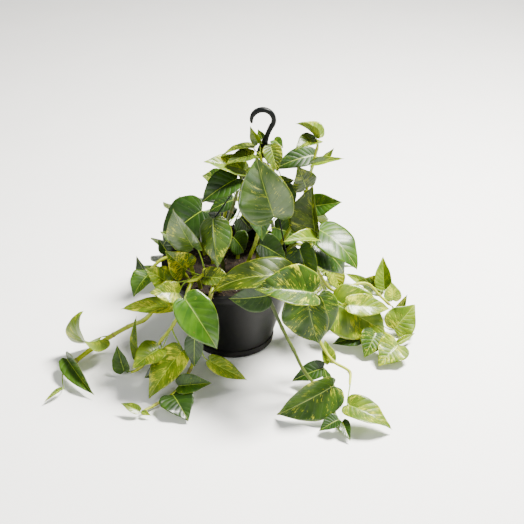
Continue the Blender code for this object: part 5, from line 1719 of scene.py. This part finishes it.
@dataclass(frozen=True)
class BladeGrid:
    """The flat pattern of a fine blade, shared by the blades of one outline.

    Each point has its place a along the midrib and b to the left of it, both
    in blade lengths, its row from 0 at the foot to 1 at the tip, and its
    share out to the margin, negative on the right.
    """

    a: np.ndarray
    b: np.ndarray
    row: np.ndarray
    out: np.ndarray
    faces: list[tuple[int, ...]]
    triangles: np.ndarray
    rim: list[tuple[int, int]]

    @classmethod
    def drawn(cls, outline: Sequence[tuple[float, float, float]]) -> "BladeGrid":
        """Fill a smooth outline with rows that run out along the side veins.

        Args:
            outline: Points of half the outline, without foot and tip.

        Returns:
            The pattern.
        """
        knots = np.array([(0, 0, 0), *outline, DRIP_TIP, (1, 0, 1)], float)
        places = np.linspace(0, 1, BLADE_ROWS + 1)
        ahead, aside, start = eased(knots, places).T
        start = np.maximum.accumulate(np.clip(start, 0, 1))
        aside = np.maximum(aside, 0)
        shares = np.linspace(0, 1, BLADE_COLUMNS + 1)
        index: dict[tuple[float, float], int] = {}
        data, faces = [], []
        for side in (1, -1):
            ids = []
            for i, place in enumerate(places):
                line = []
                for share in shares:
                    a = start[i] + (ahead[i] - start[i]) * share
                    b = side * aside[i] * share
                    key = (round(a, 6), round(b, 6) + 0.0)
                    if key not in index:
                        index[key] = len(data)
                        data.append((a, b, place, side * share))
                    line.append(index[key])
                ids.append(line)
            for low, high in zip(ids, ids[1:]):
                for j in range(BLADE_COLUMNS):
                    face = list(dict.fromkeys((low[j], high[j], high[j + 1], low[j + 1])))
                    if len(face) > 2:
                        faces.append(tuple(face[::side]))
        a, b, row, out = np.array(data).T
        triangles = [(f[0], f[i], f[i + 1]) for f in faces for i in range(1, len(f) - 1)]
        return cls(a, b, row, out, faces, np.array(triangles), open_edges(faces))

    def panels(self) -> np.ndarray:
        """How far each point bulges between its two side veins, 0 to 1.

        Returns:
            The bulge at each point of the pattern.
        """
        edge = np.abs(self.out)
        fan = (self.row - edge * VEIN_LEAN) * VEIN_PAIRS + np.where(self.out > 0, VEIN_STAGGER, 0)
        crest = np.abs(fan - np.floor(fan) - 0.5) * 2
        return (1 - crest ** 2) * np.clip(edge / 0.15, 0, 1) * np.clip((1 - edge) / 0.2, 0, 1)

    def blade(self, blade: Blade, seed: float) -> tuple[np.ndarray, list, dict[str, np.ndarray]]:
        """The closed fine body of one blade.

        Args:
            blade: Its curved surface.
            seed: A number of its own.

        Returns:
            Points, faces, and the places that its finish reads.
        """
        length = blade.length
        b = self.b * blade.spread
        edge = np.abs(self.out)
        # the fold is round along the midrib, the margin waves, the tip dips
        round_off = FOLD_ROUNDING * length
        out = np.abs(b) * length
        rise = math.sin(math.radians(blade.leaf.fold))
        lift = (np.sqrt(out ** 2 + round_off ** 2) - round_off - out) * rise
        waves = sum(height * np.sin(turns * self.row + shift * seed)
                    for height, turns, shift in MARGIN_WAVES)
        lift += length * edge ** 3 * waves * np.sign(b)
        lift -= TIP_DIP * length * np.clip((self.a - DIP_START) / (1 - DIP_START), 0, 1) ** 2
        lift += PANEL_RISE * length * self.panels()
        top = blade.surface(self.a, b, lift)
        normals = corner_normals(top, self.triangles)
        skin = MARGIN_SKIN + (BLADE_SKIN - MARGIN_SKIN) * (1 - edge ** 4)
        low = top - normals * skin[:, None]
        count = len(top)
        faces = list(self.faces) + [tuple(i + count for i in face[::-1]) for face in self.faces]
        faces += [(q, p, p + count, q + count) for p, q in self.rim]
        under = np.repeat((0.0, 1.0), count)
        place = np.stack((np.tile(self.row, 2), np.tile(self.out, 2), under), axis=1)
        own = np.full(2 * count, seed)
        flat = np.stack((np.tile(self.a, 2) * length, np.tile(b, 2) * length, own), axis=1)
        return np.concatenate((top, low)), faces, {"place": place, "flat": flat}


class Foliage:
    """Builds the fine pieces of the vines."""

    BLADE, STEM = 0, 1

    def __init__(self) -> None:
        """Make the finishes and the blade patterns."""
        self.materials = [BladeFinish().material(), StemFinish().material()]
        self.grids = {True: BladeGrid.drawn(SMALL_OUTLINE), False: BladeGrid.drawn(HALF_OUTLINE)}

    def dress(self, vine: Vine) -> bpy.types.Object:
        """Build one vine's piece and seat it in place of its solid.

        Args:
            vine: The vine.

        Returns:
            The piece.
        """
        parts = MeshParts("place", "flat", "deep", "light", "mark", "facts")
        rng = np.random.default_rng([RULE_SEED, 3, *vine.name.encode()])
        self.add_stem(parts, vine, rng)
        for leaf, stalk in vine.leaves:
            blade = Blade(leaf)
            self.add_blade(parts, blade, rng)
            self.add_stalk(parts, blade, stalk)
        piece = parts.build(f"{vine.name}_leafy", self.materials)
        seat(piece, "foliage", vine.name)
        return piece

    def add_blade(self, parts: MeshParts, blade: Blade, rng: np.random.Generator) -> None:
        """Add one blade with its tone, which varies a little from leaf to leaf.

        Args:
            parts: Where it goes.
            blade: Its curved surface.
            rng: Where its tint comes from.
        """
        points, faces, places = self.grids[blade.small].blade(blade, rng.uniform(0, 40))
        tone = blade.leaf.tone.value
        tint = rng.uniform(0.9, 1.1)
        parts.add(points, faces, self.BLADE, **places, deep=np.array(tone.deep) * tint,
                  light=np.array(tone.light) * tint, mark=tone.mark,
                  facts=(tone.marked, tone.gloss, blade.length))

    def add_rod(self, parts: MeshParts, points: Sequence, radii: Sequence[float], sides: int,
                tone: StemTone, corky: Sequence[float] | float = 0.0) -> None:
        """Add a stem, a stalk or a root.

        Args:
            parts: Where it goes.
            points: Its centre line.
            radii: Its radius at each point.
            sides: Number of sides.
            tone: Its colours.
            corky: How corky it is at each point, 0 to 1.
        """
        verts, faces = tube(points, radii, sides)
        points = np.array(points)
        steps = np.linalg.norm(np.diff(points, axis=0), axis=1)
        run = np.repeat(np.concatenate(([0.0], np.cumsum(steps))), sides)
        corky = np.repeat(np.broadcast_to(corky, len(points)), sides)
        angle = np.tile(2 * math.pi * np.arange(sides) / sides, len(points))
        radius = np.repeat(radii, sides)
        place = np.stack((run / max(run[-1], 1e-9), corky, run * 0), axis=1)
        flat = np.stack((run, radius * np.cos(angle), radius * np.sin(angle)), axis=1)
        parts.add(verts, faces, self.STEM, place=place, flat=flat,
                  deep=tone.deep, light=tone.light, mark=tone.mark)

    def add_stem(self, parts: MeshParts, vine: Vine, rng: np.random.Generator) -> None:
        """Add the stem, swollen and corky at its joints, with the joints' air roots.

        Args:
            parts: Where it goes.
            vine: The vine.
            rng: Where the joints' differences come from.
        """
        coarse = vine.route(STEM_STEP)
        route = np.array(vine.route(STEM_RINGS))
        run = np.concatenate(([0.0], np.cumsum(np.linalg.norm(np.diff(route, axis=0), axis=1))))
        coarse_run = np.concatenate(([0.0], np.cumsum(
            np.linalg.norm(np.diff(np.array(coarse), axis=0), axis=1))))
        radii = np.interp(run, coarse_run * run[-1] / coarse_run[-1], stem_radii(vine.name, coarse))
        joints = [run[np.argmin(np.linalg.norm(route - stalk.guides[0], axis=1))]
                  for _, stalk in vine.leaves]
        joints += list(np.arange(JOINT_SPACING, run[-1] - 8 * MM, JOINT_SPACING))
        swell = np.zeros_like(run)
        for joint in joints:
            swell = np.maximum(swell, np.exp(-((run - joint) / JOINT_REACH) ** 2))
        # the stem ends in a closed shoot
        bud = np.clip((run[-1] - run) / SHOOT_LENGTH, 0.12, 1) ** 0.7
        # stems that sit in shade get the painted-shade tone
        tone = SHADED_STEM_TONE if vine.name in SHADED_STEMS else STEM_TONE
        self.add_rod(parts, route, radii * (1 + JOINT_SWELL * swell) * bud, STEM_FINE_SIDES, tone,
                     swell * rng.uniform(0.3, 0.8))
        for joint in joints:
            at = int(np.argmin(np.abs(run - joint)))
            height = route[at][2]
            if height > SOIL_TOP_Z or height < ROOT_NEAR_GROUND or rng.uniform() < 0.4:
                self.add_air_root(parts, route[at], radii[at], rng)

    def add_air_root(self, parts: MeshParts, base: np.ndarray, radius: float,
                     rng: np.random.Generator) -> None:
        """Add one stubby air root that leans to the ground.

        Args:
            parts: Where it goes.
            base: The point on the stem's centre line.
            radius: The stem's radius there.
            rng: Where its lean and length come from.
        """
        lean = unit(np.array((rng.normal(), rng.normal(), -0.9)))
        length = rng.uniform(2.5, 6.0) * MM
        if base[2] < ROOT_NEAR_GROUND:
            room = base[2] - radius - 0.2 * MM
            length = max(0.6 * MM, min(length, room / max(0.05, -lean[2])))
        shares = np.linspace(0, 1, 5)
        curve = unit(rng.normal(size=3)) * length * 0.15
        points = [base + lean * (radius * 0.6 + length * s) + curve * s * s for s in shares]
        radii = [AIR_ROOT_RADIUS * (1.05 - 0.75 * s) for s in shares]
        self.add_rod(parts, points, radii, AIR_ROOT_SIDES, ROOT_TONE, 0.6)

    def add_stalk(self, parts: MeshParts, blade: Blade, stalk: Stalk) -> None:
        """Add the petiole with its sheath, and the rib that it becomes under the blade.

        Args:
            parts: Where it goes.
            blade: The blade.
            stalk: The stalk's curve.
        """
        points = stalk.line(STALK_FINE_STEPS)
        radii = []
        for i in range(STALK_FINE_STEPS + 1):
            share = i / STALK_FINE_STEPS
            sheath = SHEATH_RADIUS * math.exp(-share / 0.10)
            hinge = HINGE_RADIUS * math.exp(-((share - 0.94) / 0.05) ** 2)
            radii.append(stalk.radius(blade, share) + sheath + hinge)
        for a in np.linspace(0.05, 0.90, 12):
            place, _, normal = blade.frame(a)
            points.append(place - normal * (0.45 * MM + 0.7 * MM * math.exp(-a / 0.06)))
            radii.append(RIB_FOOT_RADIUS * (1 - a) + RIB_TIP_RADIUS)
        self.add_rod(parts, points, radii, STALK_FINE_SIDES, STALK_TONE)


# ------------------------------------------------------------------ basket
@dataclass
class Basket:
    """The pot and its saucer."""

    segments: int = 128
    rounding: float = 0.7 * MM
    drain_holes: int = 6
    drain_circle: float = 42 * MM
    drain_radius: float = 5 * MM
    clip_hole_radius: float = STRAND_RADIUS + 0.45 * MM

    def build(self) -> list[bpy.types.Object]:
        """Turn the pot and the saucer, and cut the pot's holes.

        Returns:
            The pot and the saucer.
        """
        material = Plastic.POT.value.material("black pot plastic")
        pot = self.turned("pot_shell", pot_profile(), material)
        for index in range(self.drain_holes):
            place = self.drain_circle * direction(360 / self.drain_holes * (index + 0.5), 0)
            self.cut(pot, place, -2 * MM, 12 * MM, self.drain_radius)
        for azimuth in STRAND_AZIMUTHS:
            place = CLIP_CIRCLE * direction(azimuth, 0)
            self.cut(pot, place, POT_HEIGHT - 8 * MM, POT_HEIGHT + 4 * MM, self.clip_hole_radius)
        seat(pot, "pot_plastic", "hanging_pot")
        saucer = self.turned("drip_saucer", saucer_profile(), material)
        seat(saucer, "pot_plastic", "saucer")
        return [pot, saucer]

    def turned(self, name: str, profile: Sequence,
               material: bpy.types.Material) -> bpy.types.Object:
        """A turned piece with round edges.

        Args:
            name: The piece's name.
            profile: Points of radius and height.
            material: Its material.

        Returns:
            The piece.
        """
        parts = MeshParts()
        parts.add(*revolved(rounded(profile, self.rounding), self.segments))
        return parts.build(name, [material], sharp=40)

    def cut(self, piece: bpy.types.Object, place: np.ndarray, low: float, high: float,
            radius: float) -> None:
        """Cut an upright round hole.

        Args:
            piece: What it is cut from.
            place: A point on its axis.
            low: Its lower end.
            high: Its upper end.
            radius: Its radius.
        """
        parts = MeshParts()
        ends = [(place[0], place[1], low), (place[0], place[1], high)]
        parts.add(*tube(ends, [radius, radius], 24))
        cutter = parts.build("hole", [])
        modifier = piece.modifiers.new("hole", "BOOLEAN")
        modifier.operation = "DIFFERENCE"
        modifier.object = cutter
        bpy.context.view_layer.update()
        graph = bpy.context.evaluated_depsgraph_get()
        piece.data = bpy.data.meshes.new_from_object(piece.evaluated_get(graph))
        piece.modifiers.remove(modifier)
        bpy.data.objects.remove(cutter)


def rounded(profile: Sequence[tuple[float, float]], radius: float, steps: int = 4) -> list:
    """Round a profile's corners off.

    Args:
        profile: Points of radius and height.
        radius: How far along each side the rounding starts.
        steps: Points on each rounded corner, less one.

    Returns:
        The finer profile.
    """
    points = [Vector(p) for p in profile]
    result = []
    for index, corner in enumerate(points):
        before, after = points[index - 1], points[(index + 1) % len(points)]
        if corner.x == 0:
            result.append(tuple(corner))
            continue
        reach = min(radius, (before - corner).length * 0.45, (after - corner).length * 0.45)
        start = corner + (before - corner).normalized() * reach
        end = corner + (after - corner).normalized() * reach
        for step in range(steps + 1):
            t = step / steps
            result.append(tuple((1 - t) ** 2 * start + 2 * t * (1 - t) * corner + t * t * end))
    return result


@dataclass
class Soil:
    """The potting mix: an uneven top with bark, grit and fibres."""

    rings: int = 34
    segments: int = 120
    grains: int = 420
    mineral_share: float = 0.12
    seed: int = 11

    def height(self, x: float, y: float) -> float:
        """Height of the surface.

        Args:
            x: Place along X.
            y: Place along Y.

        Returns:
            The height.
        """
        bump = math.sin(95 * x + 1.3) * math.cos(80 * y) + 0.5 * math.sin(210 * (x - y))
        clods = noise.fractal(Vector((x, y, 0)) * 70, 0.6, 2.0, 4)
        return SOIL_TOP_Z + 2.0 * MM * bump + 2.2 * MM * clods

    def build(self) -> bpy.types.Object:
        """Build the mix with its grains in one piece.

        Returns:
            The piece.
        """
        parts = MeshParts("deep", "light")
        low = SAUCER_THICKNESS + 2 * CLEARANCE + POT_FLOOR_Z
        margin = CLEARANCE + 0.4 * MM
        outer = pot_inner_radius(SOIL_TOP_Z) - margin
        profile = [(0, low), (pot_inner_radius(low) - margin, low), (outer, SOIL_TOP_Z - 3 * MM)]
        profile += [(outer * (1 - i / self.rings), SOIL_TOP_Z) for i in range(self.rings + 1)]
        verts, faces = revolved(profile, self.segments)
        verts = [(x, y, self.height(x, y) if z >= SOIL_TOP_Z else z) for x, y, z in verts]
        parts.add(verts, faces)
        rng = np.random.default_rng(self.seed)
        for _ in range(self.grains):
            self.add_grain(parts, rng, outer - 6 * MM)
        piece = parts.build("potting_mix", [SoilFinish().material(), ChipFinish().material()])
        seat(piece, "soil", "potting_soil")
        return piece

    def add_grain(self, parts: MeshParts, rng: np.random.Generator, reach: float) -> None:
        """Add one bark chip or mineral grain, half sunk in the mix.

        Args:
            parts: Where it goes.
            rng: Where its place, size and shade come from.
            reach: How far out it may lie.
        """
        angle, radius = rng.uniform(0, 2 * math.pi), reach * math.sqrt(rng.uniform())
        x, y = radius * math.cos(angle), radius * math.sin(angle)
        mineral = rng.uniform() < self.mineral_share
        size = rng.uniform(0.8, 1.7) * MM if mineral else rng.uniform(1.5, 4.0) * MM
        shape = np.array((1, 0.85, 0.8)) if mineral else np.array((1.0, 0.5, 0.28))
        verts, faces = revolved([(0, -1), (0.72, -0.66), (1, 0), (0.72, 0.66), (0, 1)], 8)
        verts = np.array(verts) * rng.uniform(0.75, 1.15, size=(len(verts), 1)) * shape * size
        spin = Matrix.Rotation(rng.uniform(0, 6.3), 3, "Z")
        tilt = Matrix.Rotation(rng.normal() * 0.4, 3, "X")
        verts = verts @ np.array(spin @ tilt).T + (x, y, self.height(x, y) + size * 0.15)
        shade = rng.uniform(0.6, 1.3)
        deep = (0.16, 0.15, 0.13) if mineral else (0.020, 0.012, 0.007)
        light = (0.28, 0.27, 0.24) if mineral else (0.070, 0.042, 0.024)
        parts.add(verts, faces, 1, deep=np.array(deep) * shade, light=np.array(light) * shade)


@dataclass
class Hanger:
    """The hook and its three strands."""

    hook_sides: int = 28
    strand_sides: int = 14

    def build(self) -> list[bpy.types.Object]:
        """Build the hook and the strands.

        Returns:
            The hook and the three strands.
        """
        material = Plastic.HANGER.value.material("black hanger plastic")
        parts = MeshParts()
        parts.add(*loft(self.smooth_sections(), self.hook_sides))
        hook = parts.build("hook_body", [material], sharp=50)
        seat(hook, "hanger_plastic", "hanger_hook")
        knob = [(0.4, STRAND_RADIUS), (0.7, KNOB_RADIUS * 0.8), (1.2, KNOB_RADIUS),
                (3.2, KNOB_RADIUS), (3.7, KNOB_RADIUS * 0.8), (4.0, STRAND_RADIUS * 0.6)]
        pieces = [hook]
        for number, route in enumerate(strand_routes(), 1):
            parts = MeshParts()
            parts.add(*strand_solid(route, knob, 4 * MM, self.strand_sides))
            strand = parts.build(f"strand_rod_{number}", [material], sharp=60)
            seat(strand, "hanger_plastic", f"hanger_strand_{number}")
            pieces.append(strand)
        return pieces

    def smooth_sections(self) -> list[tuple[Vector, float, float]]:
        """The hook's sections read finely, with both of its ends rounded off.

        Returns:
            Centre, half width and half depth of each section.
        """
        rows = np.array([(*centre, width, depth) for centre, width, depth in hook_sections()])
        fine = eased(rows, np.linspace(0, 1, 110))
        last = len(fine) - 1
        for index in range(len(fine)):
            tip = min(1.0, (index + 0.4) / 5)
            base = min(1.0, (last - index + 1.6) / 4)
            round_tip, round_base = (math.sqrt(1 - (1 - end) ** 2) for end in (tip, base))
            fine[index, 3:] *= round_tip * (0.9 + 0.1 * round_base)
        return [(Vector(row[:3]), row[3], row[4]) for row in fine.tolist()]


# ------------------------------------------------------------------ studio
@dataclass
class Studio:
    """A pale floor, soft light and the camera."""

    target: tuple[float, float, float] = (0.054, 0.0, 0.161)
    distance: float = 2.0
    elevation: float = 32.0
    lens: float = 76.34
    half_floor: float = 20.0
    sky: float = 0.24

    def build(self) -> None:
        """Set the stage."""
        self.floor()
        self.light("key", (0.9, 0.35, 1.9), 0.6, 290.0, (1.0, 0.97, 0.91))
        self.light("fill", (-1.6, -1.3, 1.3), 0.8, 26.0, (0.99, 1.0, 1.0))
        self.light("front", (0.5, -2.2, 1.6), 1.0, 16.0, (1.0, 1.0, 0.97))
        self.world()
        self.camera()

    def floor(self) -> None:
        """A wide pale floor."""
        parts = MeshParts()
        half = self.half_floor
        parts.add([(-half, -half, 0), (half, -half, 0), (half, half, 0), (-half, half, 0)],
                  [(0, 1, 2, 3)])
        finish = Finish("pale floor")
        grain = finish.noise(finish.place(), 9.0, 4.0)
        colour = finish.blend((0.85, 0.85, 0.84), (0.89, 0.89, 0.88), grain)
        floor = parts.build("floor", [finish.dressed(grain, 0.02 * MM, Base_Color=colour,
                                                     Roughness=grain * 0.1 + 0.75)])

    def light(self, name: str, place: tuple, size: float, power: float, colour: Colour) -> None:
        """A soft square light that looks at the plant.

        Args:
            name: Its name.
            place: Where it hangs.
            size: Its width.
            power: Its power in watts.
            colour: Its colour.
        """
        lamp = bpy.data.lights.new(name, "AREA")
        lamp.energy, lamp.size, lamp.color = power, size, colour
        obj = bpy.data.objects.new(name, lamp)
        obj.location = place
        look = Vector(self.target) - obj.location
        obj.rotation_euler = look.to_track_quat("-Z", "Y").to_euler()
        bpy.context.scene.collection.objects.link(obj)

    def world(self) -> None:
        """Even light from all round."""
        world = bpy.data.worlds.new("studio")
        world.use_nodes = True
        background = world.node_tree.nodes["Background"]
        background.inputs["Color"].default_value = (0.98, 0.99, 1.0, 1.0)
        background.inputs["Strength"].default_value = self.sky
        bpy.context.scene.world = world

    def camera(self) -> None:
        """The camera in front, above the plant."""
        camera = bpy.data.cameras.new("camera")
        camera.sensor_width, camera.lens = 36.0, self.lens
        camera.clip_start, camera.clip_end = 0.1, 40.0
        obj = bpy.data.objects.new("camera", camera)
        tilt = math.radians(self.elevation)
        look = Vector((0, math.cos(tilt), -math.sin(tilt)))
        obj.location = Vector(self.target) - look * self.distance
        obj.rotation_euler = look.to_track_quat("-Z", "Y").to_euler()
        bpy.context.scene.collection.objects.link(obj)
        bpy.context.scene.camera = obj


def corners(pair: Sequence[Vector]) -> list[list[float]]:
    """Two corners as plain lists."""
    return [list(corner) for corner in pair]


def main() -> None:
    """Load the solids, build every fine piece and light them."""
    logging.basicConfig(level=logging.INFO, format="%(name)s: %(message)s")
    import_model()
    Basket().build()
    Soil().build()
    Hanger().build()
    foliage = Foliage()
    for vine in grown_vines():
        foliage.dress(vine)
    Studio().build()


if __name__ == "__main__":
    main()
